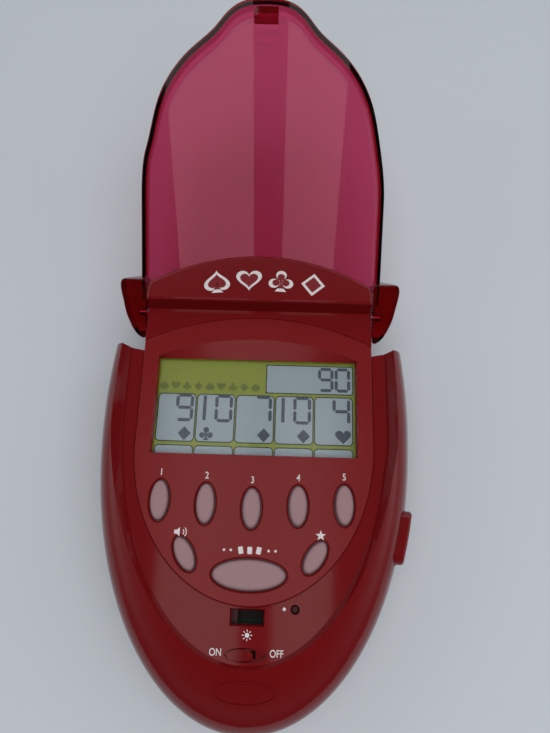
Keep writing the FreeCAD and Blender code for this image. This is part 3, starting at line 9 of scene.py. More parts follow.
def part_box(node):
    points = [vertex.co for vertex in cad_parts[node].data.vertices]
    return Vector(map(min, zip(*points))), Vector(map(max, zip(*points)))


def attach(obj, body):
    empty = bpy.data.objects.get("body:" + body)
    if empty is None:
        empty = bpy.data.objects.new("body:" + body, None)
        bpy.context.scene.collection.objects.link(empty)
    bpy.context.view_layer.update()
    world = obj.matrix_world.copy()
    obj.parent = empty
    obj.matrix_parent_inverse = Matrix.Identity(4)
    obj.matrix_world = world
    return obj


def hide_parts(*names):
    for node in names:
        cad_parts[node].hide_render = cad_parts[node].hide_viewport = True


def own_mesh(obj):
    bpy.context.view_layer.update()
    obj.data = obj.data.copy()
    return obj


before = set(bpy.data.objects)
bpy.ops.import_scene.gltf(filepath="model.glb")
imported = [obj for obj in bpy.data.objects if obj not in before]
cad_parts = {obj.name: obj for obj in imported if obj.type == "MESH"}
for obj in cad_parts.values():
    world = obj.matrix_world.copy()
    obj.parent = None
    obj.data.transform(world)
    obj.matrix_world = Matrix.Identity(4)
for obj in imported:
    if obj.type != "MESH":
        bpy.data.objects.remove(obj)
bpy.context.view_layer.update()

MM = 0.001

# Camera, from the fit of the photograph
CAMERA_PLACE = (5.84, -11.34, 161.02)
CAMERA_FORWARD = (-0.0089, 0.3006, -0.9537)
CAMERA_UP = (-0.0279, 0.9533, 0.3007)
CAMERA_FOCAL = 560.0
CAMERA_NEAR = 0.01
PHOTO_HEIGHT = 733.0
SENSOR_HEIGHT = 36.0

# Two window-like lights straight above, seen mirrored in the lid and the floor
WINDOW_HEIGHT = 424.0
WINDOW_SPANS = ((-101.0, -24.0), (5.0, 58.0))
WINDOW_Y = (-118.0, 125.0)
WINDOW_RADIANCE = 0.85

# Wide soft light that fills the shadows and isn't mirrored
FILL_PLACE = (220.0, -300.0, 1000.0)
FILL_SIZE = 1300.0
FILL_RADIANCE = 1.95

# Room: dim overhead, a paler band half way down, weaker low down and on the side of the foot
# Heights are sines of the elevation
ROOM_COLOUR = (0.90, 0.97, 1.03)
ROOM_OVERHEAD = 0.07
ROOM_BAND = 1.15
ROOM_BAND_HEIGHTS = (0.42, 0.86)
ROOM_LOW_SHARE = 0.45
ROOM_LOW_HEIGHTS = (0.15, 0.45)
ROOM_FOOT_SHARE = 0.15
ROOM_FOOT_SPAN = (-0.70, 0.10)

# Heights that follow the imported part; the floor is the body's face round the panel
PANEL_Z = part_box("face_panel")[1][2]
GLASS_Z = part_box("display_glass")[1][2]
FLOOR_DROP = 0.3 * MM
FLOOR_Z = PANEL_Z - FLOOR_DROP
INK = 0.02 * MM

# Table top, just under the rest face
TABLE_Z = -0.02 * MM
TABLE_HALF = 1.5
TABLE_COLOUR = (0.525, 0.552, 0.585, 1.0)

# Noise that every finish shares: sizes per metre, the part of the hair noise that shows, depths of relief
NOISE_MIDDLE = 0.5
SMEAR_SIZE = 70.0
HAIR_LEAN = 34.0
HAIR_STRETCH = (5200.0, 130.0, 130.0)
HAIR_SPAN = (0.62, 0.72)
GRAIN_DEPTH = 0.05 * MM
SCRATCH_DEPTH = 0.02 * MM
COAT_ROUGHNESS = 0.1

# See-through red: what its surface lets pass, then what its thickness lets pass and how strongly
CLEAR_RED_SURFACE = (0.85, 0.62, 0.76, 1.0)
CLEAR_RED_DEPTH = (0.88, 0.0, 0.30, 1.0)
CLEAR_RED_DENSITY = 1340.0

# Latch spring: its wire, its turns, and the steps along it and round its wire
SPRING_WIRE = 0.3 * MM
SPRING_TURNS = 5.0
SPRING_STEPS = 180
WIRE_SIDES = 10

# Title block: its crease and its slope
TITLE_Y = 48.2
TITLE_Z = 28.2
TITLE_SLOPE = -1.6 / 14.0

# Title: four suits on a flat bow, each with a smaller one inside
TITLE_MIDDLE = (1.3, 54.6)
TITLE_PITCH = 8.4
TITLE_SAG = 0.8
TITLE_LEAN = 4.0
TITLE_SIZE = 6.8
TITLE_INSIDE = 0.7

# Display picture: blocks as left, right, foot and head; digits as width, height and line
PICTURE_BLOCK = (-25.85, 25.85, 7.9, 34.4)
SCORE_BLOCK = (2.3, 24.9, 25.3, 33.1)
SCORE_ROUND = 0.4
SCORE_DIGITS = "90"
SCORE_DIGIT = (3.2, 5.7, 0.82)
SCORE_DIGIT_PLACE = (16.2, 26.5)
SCORE_DIGIT_PITCH = 4.3
CARD_LEFT = -25.2
CARD_PITCH = 10.0
CARD_FOOT = 12.15
CARD_HEAD = 24.85
CARD_ROW_GAP = 0.6
CARD_INSET = 0.06
CARD_LINE = 0.28
CARD_ROUND = 1.2
CORNER_STAR = (4, 1.0, 0.35)
RANK_DIGIT = (3.7, 6.4, 0.85)
RANK_SIDE = 1.15
RANK_RISE = 0.6
ONE_SIDE = 1.7
DIGIT_GAP = 0.1
CARD_SUIT_RISE = 2.25
CARD_SUIT_SIDE = 2.6
CLUB_SIDE = 2.9
CARD_SUIT_SIZE = 3.6
HEART_SIZE = 4.0
MESSAGE_COUNT = 9
MESSAGE_PLACE = (-23.9, 26.8)
MESSAGE_PITCH = 2.95
MESSAGE_SIZE = 2.4
RANKS = (("9", "diamond"), ("10", "club"), ("7", "diamond"), ("10", "diamond"), ("4", "heart"))

# Marks printed on the face: places and sizes
KEY_NUMBER_RISE = 1.15
KEY_NUMBER_SIZE = 2.3
SWITCH_WORDS = (("ON", -6.75), ("OFF", 6.85))
SWITCH_WORD_Y = -34.8
SWITCH_WORD_SIZE = 2.15
LETTER_WIDTH = 0.82
LETTER_BOLD = 0.02
SOUND_MARK = (-16.5, -9.45)
SPEAKER = ((-1.4, -0.45), (-0.8, -0.45), (-0.1, -1.05), (-0.1, 1.05), (-0.8, 0.45), (-1.4, 0.45))
WAVE_RADII = (0.75, 1.35)
WAVE_LINE = 0.22
WAVE_SPREAD = 42.0
STAR_MARK = (16.5, -9.4)
STAR_SHAPE = (5, 1.25, 0.52)
DEAL_MARK_Y = -13.15
DEAL_CARD = (0.55, 0.8, 0.18)
DEAL_PITCH = 2.1
DEAL_LEAN = 12.0
DEAL_DOTS = (-6.0, -4.4, 4.4, 6.0)
DEAL_DOT = 0.3
SUN_MARK = (0.15, -31.15)
SUN_RADIUS = 0.5
SUN_RAY = (0.75, 1.15, 0.1)
SUN_RAYS = 8
RESET_MARK = (8.35, -25.55)
RESET_DOT = 0.38

# Card suits, about one unit high round the origin
SUITS = ("spade", "heart", "club", "diamond")
DIAMOND = ((0.0, -0.5), (0.46, 0.0), (0.0, 0.5), (-0.46, 0.0))
STEM = ((-0.03, 0.0), (-0.06, -0.25), (-0.22, -0.46), (0.22, -0.46), (0.06, -0.25), (0.03, 0.0))
CLUB_LOBES = ((0.0, 0.27, 0.205), (-0.27, -0.10, 0.205), (0.27, -0.10, 0.205), (0.0, 0.0, 0.09))
HEART_RISE = 0.07
SPADE_RISE = 0.08

# Bars of each digit that is shown, lettered clockwise from the top, with g across the middle
SEGMENTS = {"0": "abcdef", "4": "fgbc", "7": "abc", "9": "abfgcd"}


def srgb(red, green, blue):
    """Linear colour of an eight-bit screen colour."""
    linear = []
    for value in (red, green, blue):
        share = value / 255.0
        linear.append(share / 12.92 if share <= 0.04045 else ((share + 0.055) / 1.055) ** 2.4)
    return (*linear, 1.0)


# Materials

def noise(nodes, **values):
    """Noise texture with the named sockets set."""
    texture = nodes.new("ShaderNodeTexNoise")
    for name, value in values.items():
        texture.inputs[name].default_value = value
    return texture


def calculate(nodes, links, operation, *values):
    """Math node on sockets and plain numbers, in their order."""
    step = nodes.new("ShaderNodeMath")
    step.operation = operation
    for socket, value in zip(step.inputs, values):
        if isinstance(value, float):
            socket.default_value = value
        else:
            links.new(value, socket)
    return step.outputs[0]


def make_surface_group():
    """Look of moulded and worked surfaces: mottled colour, uneven gloss, fine grain, hairline scratches."""
    group = bpy.data.node_groups.new("surface", "ShaderNodeTree")
    face = group.interface
    colour = face.new_socket("Colour", in_out="INPUT", socket_type="NodeSocketColor")
    colour.default_value = (0.5, 0.5, 0.5, 1.0)
    for name, value in (("Mottle", 0.1), ("Size", 200.0), ("Roughness", 0.4), ("Gloss Change", 0.05),
                        ("Grain", 0.1), ("Grain Size", 4000.0), ("Scratches", 0.05)):
        socket = face.new_socket(name, in_out="INPUT", socket_type="NodeSocketFloat")
        socket.default_value = value
    face.new_socket("Colour", in_out="OUTPUT", socket_type="NodeSocketColor")
    face.new_socket("Roughness", in_out="OUTPUT", socket_type="NodeSocketFloat")
    face.new_socket("Normal", in_out="OUTPUT", socket_type="NodeSocketVector")
    nodes, links = group.nodes, group.links
    given = nodes.new("NodeGroupInput")
    result = nodes.new("NodeGroupOutput")
    place = nodes.new("ShaderNodeTexCoord")

    cloud = noise(nodes, Detail=4.0)
    links.new(place.outputs["Object"], cloud.inputs["Vector"])
    links.new(given.outputs["Size"], cloud.inputs["Scale"])
    centred = calculate(nodes, links, "SUBTRACT", cloud.outputs["Fac"], NOISE_MIDDLE)
    swing = calculate(nodes, links, "MULTIPLY_ADD", centred, given.outputs["Mottle"], 1.0)
    tint = nodes.new("ShaderNodeVectorMath")
    tint.operation = "SCALE"
    links.new(given.outputs["Colour"], tint.inputs[0])
    links.new(swing, tint.inputs["Scale"])
    links.new(tint.outputs["Vector"], result.inputs["Colour"])

    smear = noise(nodes, Scale=SMEAR_SIZE, Detail=5.0, Distortion=0.6)
    links.new(place.outputs["Object"], smear.inputs["Vector"])
    uneven = calculate(nodes, links, "SUBTRACT", smear.outputs["Fac"], NOISE_MIDDLE)
    gloss = calculate(nodes, links, "MULTIPLY_ADD", uneven, given.outputs["Gloss Change"],
                      given.outputs["Roughness"])
    links.new(gloss, result.inputs["Roughness"])

    grain = noise(nodes, Detail=2.0)
    links.new(place.outputs["Object"], grain.inputs["Vector"])
    links.new(given.outputs["Grain Size"], grain.inputs["Scale"])
    hairs = noise(nodes, Scale=1.0, Detail=3.0)
    stretch = nodes.new("ShaderNodeMapping")
    stretch.inputs["Rotation"].default_value = (0.0, 0.0, math.radians(HAIR_LEAN))
    stretch.inputs["Scale"].default_value = HAIR_STRETCH
    links.new(place.outputs["Object"], stretch.inputs["Vector"])
    links.new(stretch.outputs["Vector"], hairs.inputs["Vector"])
    sharp = nodes.new("ShaderNodeMapRange")
    sharp.inputs["From Min"].default_value = HAIR_SPAN[0]
    sharp.inputs["From Max"].default_value = HAIR_SPAN[1]
    links.new(hairs.outputs["Fac"], sharp.inputs["Value"])
    bump = nodes.new("ShaderNodeBump")
    bump.inputs["Distance"].default_value = GRAIN_DEPTH
    links.new(given.outputs["Grain"], bump.inputs["Strength"])
    links.new(grain.outputs["Fac"], bump.inputs["Height"])
    scratch = nodes.new("ShaderNodeBump")
    scratch.invert = True
    scratch.inputs["Distance"].default_value = SCRATCH_DEPTH
    links.new(given.outputs["Scratches"], scratch.inputs["Strength"])
    links.new(sharp.outputs["Result"], scratch.inputs["Height"])
    links.new(bump.outputs["Normal"], scratch.inputs["Normal"])
    links.new(scratch.outputs["Normal"], result.inputs["Normal"])
    return group


SURFACE = make_surface_group()


def finish_material(name, colour, roughness, metallic=0.0, mottle=0.12, size=200.0, gloss_change=0.08,
                    grain=0.08, grain_size=4000.0, scratches=0.05, coat=0.0, specular=0.5, transmission=0.0,
                    ior=1.5):
    """Plastic, rubber or metal on the shared surface group; plain values sit on the shader itself."""
    material = bpy.data.materials.new(name)
    material.use_nodes = True
    nodes, links = material.node_tree.nodes, material.node_tree.links
    shader = nodes["Principled BSDF"]
    shared = nodes.new("ShaderNodeGroup")
    shared.node_tree = SURFACE
    for socket, value in (("Colour", colour), ("Mottle", mottle), ("Size", size), ("Roughness", roughness),
                          ("Gloss Change", gloss_change), ("Grain", grain), ("Grain Size", grain_size),
                          ("Scratches", scratches)):
        shared.inputs[socket].default_value = value
    links.new(shared.outputs["Colour"], shader.inputs["Base Color"])
    links.new(shared.outputs["Roughness"], shader.inputs["Roughness"])
    links.new(shared.outputs["Normal"], shader.inputs["Normal"])
    shader.inputs["Metallic"].default_value = metallic
    shader.inputs["IOR"].default_value = ior
    shader.inputs["Specular IOR Level"].default_value = specular
    shader.inputs["Coat Weight"].default_value = coat
    shader.inputs["Coat Roughness"].default_value = COAT_ROUGHNESS
    shader.inputs["Transmission Weight"].default_value = transmission
    return material


def clear_red_material():
    """See-through red plastic that deepens with the thickness the light crosses."""
    material = finish_material("clear_red", CLEAR_RED_SURFACE, 0.015, mottle=0.03, size=60.0,
                               gloss_change=0.01, grain=0.0, scratches=0.02, transmission=1.0, ior=1.46)
    nodes, links = material.node_tree.nodes, material.node_tree.links
    depth = nodes.new("ShaderNodeVolumeAbsorption")
    depth.inputs["Color"].default_value = CLEAR_RED_DEPTH
    depth.inputs["Density"].default_value = CLEAR_RED_DENSITY
    links.new(depth.outputs["Volume"], nodes["Material Output"].inputs["Volume"])
    return material


def give(material, *nodes):
    """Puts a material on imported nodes, which keep their meshes."""
    for node in nodes:
        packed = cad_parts[node]
        for slot in packed.material_slots:
            slot.material = material


def numbered(stem, count):
    """Names of like nodes, counted from one."""
    return ["%s_%d" % (stem, k + 1) for k in range(count)]


body_red = finish_material("body_red", srgb(104, 13, 16), 0.07, mottle=0.10, size=35.0, gloss_change=0.03,
                           grain=0.006, grain_size=900.0, scratches=0.02, specular=0.4)
panel_red = finish_material("panel_red", srgb(112, 15, 18), 0.24, mottle=0.08, size=60.0, gloss_change=0.08,
                            grain=0.05, grain_size=5200.0, scratches=0.05, specular=0.4)
key_pink = finish_material("key_pink", srgb(142, 111, 114), 0.42, mottle=0.08, size=260.0, gloss_change=0.10,
                           grain=0.06, grain_size=5200.0, specular=0.4)
screen_grey = finish_material("screen_grey", srgb(140, 150, 152), 0.30, mottle=0.05, size=120.0)
clear_red = clear_red_material()
window_clear = finish_material("window_clear", (0.93, 0.95, 0.94, 1.0), 0.06, mottle=0.01, grain=0.004,
                               scratches=0.04, transmission=1.0, ior=1.3)
guide_clear = finish_material("guide_clear", (0.86, 0.90, 0.84, 1.0), 0.12, mottle=0.03, size=300.0,
                              transmission=0.6)
board_green = finish_material("board_green", srgb(28, 60, 40), 0.5, mottle=0.5, size=420.0, grain=0.3,
                              grain_size=2400.0)
frame_black = finish_material("frame_black", srgb(44, 44, 47), 0.5, mottle=0.15, grain=0.2)
# Dark red on the latch slide, light switch and reset key is painted shade that darkens the slot and the reset
# hole
dark_red_painted_shade = finish_material("dark_red_painted_shade", srgb(58, 16, 18), 0.42, mottle=0.08, grain=0.1)
rubber_dark = finish_material("rubber_dark", srgb(46, 36, 37), 0.75, mottle=0.12, grain=0.35, scratches=0.0)
resin_black = finish_material("resin_black", srgb(22, 22, 24), 0.28, mottle=0.2, size=500.0, grain=0.2,
                              grain_size=1500.0)
lamp_ivory = finish_material("lamp_ivory", srgb(238, 232, 200), 0.35, mottle=0.06)
sleeve_blue = finish_material("sleeve_blue", srgb(36, 50, 92), 0.30, mottle=0.15, coat=0.3)
cell_jacket = finish_material("cell_jacket", srgb(58, 62, 68), 0.30, mottle=0.10, size=120.0, coat=0.4,
                              scratches=0.2)
spring_steel = finish_material("spring_steel", srgb(186, 188, 192), 0.28, metallic=1.0, mottle=0.12,
                               size=600.0, scratches=0.4)
screw_steel = finish_material("screw_steel", srgb(150, 152, 156), 0.36, metallic=1.0, mottle=0.25, size=900.0,
                              scratches=0.5)
sounder_brass = finish_material("sounder_brass", srgb(190, 158, 88), 0.30, metallic=1.0, mottle=0.2,
                                size=500.0, scratches=0.4)

give(body_red, "front_housing", "rear_housing", "battery_door", "release_button", "light_knob")
give(panel_red, "face_panel")
give(key_pink, "sound_key", "score_key", "deal_key", *numbered("hold_key", 5))
give(resin_black, "chip")
give(clear_red, "lid")
give(window_clear, "display_window")
give(screen_grey, "display_glass")
give(guide_clear, "light_guide")
give(lamp_ivory, *numbered("lamp", 2))
give(rubber_dark, "key_mat", *numbered("contact_strip", 2))
give(frame_black, "display_frame")
give(board_green, "circuit_board")
give(sleeve_blue, *numbered("capacitor", 2))
# The slide, switch and reset key get the dark red of painted shade in the slot and the reset hole
give(dark_red_painted_shade, "latch_slide", "light_switch", "reset_key")
give(cell_jacket, *numbered("cell", 3))
give(spring_steel, "latch_spring", *numbered("hinge_pin", 2), *numbered("sounder_spring", 2),
     *numbered("cell_contact", 3), *numbered("cell_spring", 3))
give(screw_steel, "door_screw", *numbered("housing_screw", 4), *numbered("board_screw", 4))
give(sounder_brass, "sounder")


# Latch spring

def make_latch_spring():
    """Wire carried along a helix round X: each ring is a circle that stands across the helix's direction."""
    low, high = [np.array(corner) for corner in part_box("latch_spring")]
    middle = (low + high) / 2.0
    wire = SPRING_WIRE / 2.0
    radius = (high[1] - low[1]) / 2.0 - wire
    run = high[0] - low[0] - SPRING_WIRE
    share, side = np.meshgrid(np.linspace(0.0, 1.0, SPRING_STEPS + 1),
                              np.linspace(0.0, 2.0 * math.pi, WIRE_SIDES, endpoint=False), indexing="ij")
    turn = 2.0 * math.pi * SPRING_TURNS * share
    outward = np.stack((np.zeros_like(turn), np.cos(turn), np.sin(turn)), axis=-1)
    rise = run / (2.0 * math.pi * SPRING_TURNS)
    along = np.stack((np.full_like(turn, rise), -radius * np.sin(turn), radius * np.cos(turn)), axis=-1)
    along /= np.linalg.norm(along, axis=-1, keepdims=True)
    across = np.cross(along, outward)
    start = np.array((low[0] + wire, middle[1], middle[2]))
    path = start + radius * outward + share[..., None] * (run, 0.0, 0.0)
    points = path + wire * (np.cos(side)[..., None] * outward + np.sin(side)[..., None] * across)

    ring = np.arange(WIRE_SIDES)
    first = (np.arange(SPRING_STEPS) * WIRE_SIDES)[:, None]
    ahead = np.roll(ring, -1)
    later = first + WIRE_SIDES
    quads = np.stack((first + ring, first + ahead, later + ahead, later + ring), axis=-1)
    ends = [ring[::-1].tolist(), (ring + SPRING_STEPS * WIRE_SIDES).tolist()]
    mesh = bpy.data.meshes.new("latch_coil")
    mesh.from_pydata(points.reshape(-1, 3).tolist(), [], quads.reshape(-1, 4).tolist() + ends)
    mesh.polygons.foreach_set("use_smooth", [True] * quads.shape[0] * WIRE_SIDES + [False, False])
    mesh.update()
    mesh.materials.append(spring_steel)
    piece = bpy.data.objects.new("latch_coil", mesh)
    bpy.context.scene.collection.objects.link(piece)
    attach(piece, "body")
    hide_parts("latch_spring")
    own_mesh(piece)


make_latch_spring()


# Flat marks

def flat_piece(name, outlines, height, material):
    """Flat polygons in one mesh: x and y are the outlines' own, z is height(x, y)."""
    rings = [np.asarray(outline, dtype=float) for outline in outlines]
    flat = np.concatenate(rings)
    points = np.column_stack((flat * MM, height(flat[:, 0], flat[:, 1])))
    ends = np.cumsum([len(ring) for ring in rings])
    faces = [tuple(range(end - len(ring), end)) for ring, end in zip(rings, ends)]
    mesh = bpy.data.meshes.new(name)
    mesh.from_pydata(points.tolist(), [], faces)
    mesh.update()
    for polygon in mesh.polygons:
        if polygon.normal.z < 0.0:
            polygon.flip()
    mesh.materials.append(material)
    piece = bpy.data.objects.new(name, mesh)
    bpy.context.scene.collection.objects.link(piece)
    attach(piece, "body")


def level(z):
    """Height function of a flat layer."""
    return lambda x, y: np.full(x.shape, z)


def rectangle(x0, x1, y0, y1):
    """Four corners, anticlockwise from the lower left."""
    return np.array(((x0, y0), (x1, y0), (x1, y1), (x0, y1)))


def arc(x, y, radius, start, end, steps):
    """x and y plus the radius times the cosine and sine of even turns from start to end, in degrees."""
    turn = np.radians(np.linspace(start, end, steps + 1))
    return np.column_stack((x + radius * np.cos(turn), y + radius * np.sin(turn)))


def circle(x, y, radius, steps=28):
    """Arc of a whole turn, without its doubled last point."""
    return arc(x, y, radius, 0.0, 360.0, steps)[:-1]


def round_rectangle(x0, x1, y0, y1, radius, steps=6):
    """Quarter circles round the four corners."""
    corners = ((x1 - radius, y0 + radius, -90.0), (x1 - radius, y1 - radius, 0.0),
               (x0 + radius, y1 - radius, 90.0), (x0 + radius, y0 + radius, 180.0))
    return np.concatenate([arc(x, y, radius, start, start + 90.0, steps) for x, y, start in corners])


def inner_block(block, inset, radius):
    """Block drawn in by the inset on all sides, with round corners."""
    x0, x1, y0, y1 = block
    return round_rectangle(x0 + inset, x1 - inset, y0 + inset, y1 - inset, radius)


def placed(outline, x, y, size, lean=0.0):
    """Outline times size, turned by lean and moved by x, y."""
    turn = math.radians(lean)
    spin = np.array(((math.cos(turn), math.sin(turn)), (-math.sin(turn), math.cos(turn))))
    return np.asarray(outline) @ (spin * size) + (x, y)


def heart_outline(steps=40):
    """Heart one unit wide: x is half of sin(t) cubed, y a sum of four cosines."""
    t = np.linspace(0.0, 2.0 * math.pi, steps, endpoint=False)
    y = 13.0 * np.cos(t) - 5.0 * np.cos(2.0 * t) - 2.0 * np.cos(3.0 * t) - np.cos(4.0 * t)
    return np.column_stack((0.5 * np.sin(t) ** 3, y / 32.0 + HEART_RISE))


def star_outline(points, outer, inner):
    """Radius that swaps between outer and inner while the turn goes round once."""
    step = np.arange(2 * points)
    turn = math.pi / 2.0 + math.pi * step / points
    reach = np.where(step % 2 == 0, outer, inner)
    return np.column_stack((reach * np.cos(turn), reach * np.sin(turn)))


def suit(kind):
    """Outlines of a card suit: a spade is a heart turned over on a stem, a club is round lobes on one."""
    if kind == "diamond":
        return [DIAMOND]
    if kind == "heart":
        return [heart_outline()]
    if kind == "spade":
        return [heart_outline() * (1.0, -1.0) + (0.0, SPADE_RISE), STEM]
    return [circle(*lobe) for lobe in CLUB_LOBES] + [STEM]


def segment_bars(character, x, y, width, height, line):
    """Seven-segment bars of one digit, with its lower left corner at x, y."""
    half = height / 2.0
    thick = line / 2.0
    shoulder = DIGIT_GAP + thick
    across = ((DIGIT_GAP, 0.0), (shoulder, thick), (width - shoulder, thick), (width - DIGIT_GAP, 0.0),
              (width - shoulder, -thick), (shoulder, -thick))
    upright = ((0.0, DIGIT_GAP), (thick, shoulder), (thick, half - shoulder), (0.0, half - DIGIT_GAP),
               (-thick, half - shoulder), (-thick, shoulder))
    home = {"a": (across, 0.0, height), "g": (across, 0.0, half), "d": (across, 0.0, 0.0),
            "f": (upright, 0.0, half), "b": (upright, width, half), "e": (upright, 0.0, 0.0),
            "c": (upright, width, 0.0)}
    bars = []
    for name in SEGMENTS[character]:
        shape, dx, dy = home[name]
        bars.append(np.array(shape) + (x + dx, y + dy))
    return bars


# Display picture

def screen_colour(name, colour, mottle, size):
    """Matt finish of the display picture, almost without gloss."""
    return finish_material(name, colour, 0.6, mottle=mottle, size=size, grain=0.02, scratches=0.0,
                           specular=0.05)


lcd_olive = screen_colour("lcd_olive", srgb(136, 143, 44), 0.10, 90.0)
lcd_green = screen_colour("lcd_green", srgb(34, 48, 18), 0.15, 300.0)
lcd_pale = screen_colour("lcd_pale", srgb(155, 165, 174), 0.08, 70.0)
lcd_shade = screen_colour("lcd_shade", srgb(104, 110, 38), 0.10, 400.0)
lcd_ink = screen_colour("lcd_ink", srgb(62, 69, 84), 0.10, 900.0)


def card_edges(k):
    """Left and right edge of the card k."""
    left = CARD_LEFT + k * CARD_PITCH
    return left, left + CARD_PITCH


def card_rows():
    """Blocks of the five cards and of the tops of the row under them, as left, right, foot and head."""
    rows = ((CARD_FOOT, CARD_HEAD), (PICTURE_BLOCK[2], CARD_FOOT - CARD_ROW_GAP))
    return [(*card_edges(k), low, high) for low, high in rows for k in range(len(RANKS))]


def card_marks():
    """Rank and suit of each card."""
    width, height, line = RANK_DIGIT
    y = CARD_HEAD - RANK_RISE - height
    marks = []
    for k, (rank, kind) in enumerate(RANKS):
        left, right = card_edges(k)
        marks += segment_bars(rank[-1], right - RANK_SIDE - width, y, *RANK_DIGIT)
        if len(rank) == 2:
            marks.append(rectangle(left + ONE_SIDE, left + ONE_SIDE + line, y, y + height))
        centre = left + CLUB_SIDE if kind == "club" else right - CARD_SUIT_SIDE
        size = HEART_SIZE if kind == "heart" else CARD_SUIT_SIZE
        marks += [placed(outline, centre, CARD_FOOT + CARD_SUIT_RISE, size) for outline in suit(kind)]
    return marks


def make_picture():
    """Card table: a message block, a score block, five cards and the tops of a second row, in thin layers."""
    on_glass, on_base, on_lines, on_stars, on_faces = [level(GLASS_Z + k * INK) for k in range(1, 6)]
    flat_piece("screen_base", [rectangle(*PICTURE_BLOCK)], on_glass, lcd_olive)

    lines, faces = [rectangle(*SCORE_BLOCK)], [inner_block(SCORE_BLOCK, CARD_LINE, SCORE_ROUND)]
    for card in card_rows():
        lines.append(inner_block(card, CARD_INSET, CARD_ROUND))
        faces.append(inner_block(card, CARD_INSET + CARD_LINE, CARD_ROUND - CARD_LINE))
    flat_piece("screen_lines", lines, on_base, lcd_green)
    flat_piece("screen_faces", faces, on_stars, lcd_pale)

    stars = []
    for k in range(len(RANKS) + 1):
        for y in (CARD_FOOT - CARD_ROW_GAP / 2.0, CARD_HEAD + CARD_INSET):
            stars.append(star_outline(*CORNER_STAR) + (CARD_LEFT + k * CARD_PITCH, y))
    flat_piece("screen_stars", stars, on_lines, lcd_olive)

    message = []
    for k in range(MESSAGE_COUNT):
        x = MESSAGE_PLACE[0] + k * MESSAGE_PITCH
        kind = SUITS[k % len(SUITS)]
        message += [placed(outline, x, MESSAGE_PLACE[1], MESSAGE_SIZE) for outline in suit(kind)]
    flat_piece("screen_message", message, on_base, lcd_shade)

    marks = card_marks()
    for k, digit in enumerate(SCORE_DIGITS):
        x = SCORE_DIGIT_PLACE[0] + k * SCORE_DIGIT_PITCH
        marks += segment_bars(digit, x, SCORE_DIGIT_PLACE[1], *SCORE_DIGIT)
    flat_piece("screen_marks", marks, on_faces, lcd_ink)


make_picture()


# Printing

ink_white = finish_material("ink_white", srgb(206, 196, 196), 0.55, mottle=0.25, size=1600.0, grain=0.2)
ink_red = finish_material("ink_red", srgb(112, 16, 22), 0.45, mottle=0.1, size=400.0, grain=0.1)


def print_text(name, text, x, y, z, size):
    """Plain digits and switch words printed on the face, each glyph a flat mesh."""
    curve = bpy.data.curves.new(name, "FONT")
    curve.body = text
    curve.size = size * MM
    curve.align_x = "CENTER"
    curve.align_y = "CENTER"
    curve.offset = LETTER_BOLD * MM
    curve.fill_mode = "FRONT"
    source = bpy.data.objects.new(name + "_source", curve)
    bpy.context.scene.collection.objects.link(source)
    bpy.context.view_layer.update()
    mesh = bpy.data.meshes.new_from_object(source.evaluated_get(bpy.context.evaluated_depsgraph_get()))
    bpy.data.objects.remove(source)
    mesh.name = name
    place = Matrix.Translation((x * MM, y * MM, z))
    mesh.transform(place @ Matrix.Diagonal((LETTER_WIDTH, 1.0, 1.0, 1.0)))
    mesh.materials.clear()
    mesh.materials.append(ink_white)
    piece = bpy.data.objects.new(name, mesh)
    bpy.context.scene.collection.objects.link(piece)
    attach(piece, "body")


def make_labels():
    """Numbers over the five card keys, and the words of the light switch."""
    for k, key in enumerate(numbered("hold_key", 5)):
        low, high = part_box(key)
        x = (low[0] + high[0]) / 2.0 / MM
        y = high[1] / MM + KEY_NUMBER_RISE
        print_text("number_%d" % (k + 1), str(k + 1), x, y, PANEL_Z + INK, KEY_NUMBER_SIZE)
    for word, x in SWITCH_WORDS:
        print_text("switch_%s" % word.lower(), word, x, SWITCH_WORD_Y, FLOOR_Z + INK, SWITCH_WORD_SIZE)


def make_icons():
    """Speaker for sound, star for the best score, three cards for a new deal, sun for the light."""
    on_panel, on_floor = level(PANEL_Z + INK), level(FLOOR_Z + INK)
    sound = [np.array(SPEAKER) + SOUND_MARK]
    for radius in WAVE_RADII:
        outer = arc(*SOUND_MARK, radius + WAVE_LINE, -WAVE_SPREAD, WAVE_SPREAD, steps=8)
        inner = arc(*SOUND_MARK, radius, WAVE_SPREAD, -WAVE_SPREAD, steps=8)
        sound.append(np.concatenate((outer, inner)))
    flat_piece("mark_sound", sound, on_panel, ink_white)
    flat_piece("mark_score", [star_outline(*STAR_SHAPE) + STAR_MARK], on_panel, ink_white)

    half_width, half_height, corner = DEAL_CARD
    card = round_rectangle(-half_width, half_width, -half_height, half_height, corner)
    deal = [placed(card, -k * DEAL_PITCH, DEAL_MARK_Y, 1.0, k * DEAL_LEAN) for k in (1, 0, -1)]
    deal += [circle(x, DEAL_MARK_Y, DEAL_DOT, steps=14) for x in DEAL_DOTS]
    flat_piece("mark_deal", deal, on_panel, ink_white)

    near, far, thick = SUN_RAY
    ray = rectangle(near, far, -thick, thick)
    sun = [circle(*SUN_MARK, SUN_RADIUS, steps=18)]
    sun += [placed(ray, *SUN_MARK, 1.0, 360.0 * k / SUN_RAYS) for k in range(SUN_RAYS)]
    flat_piece("mark_light", sun, on_floor, ink_white)
    dot = circle(*RESET_MARK, RESET_DOT, steps=16)
    flat_piece("mark_reset", [dot], on_floor, ink_white)


def title_height(lift):
    """Height function of the title block's slope, raised by the lift."""
    return lambda x, y: (TITLE_Z + TITLE_SLOPE * (y - TITLE_Y)) * MM + lift


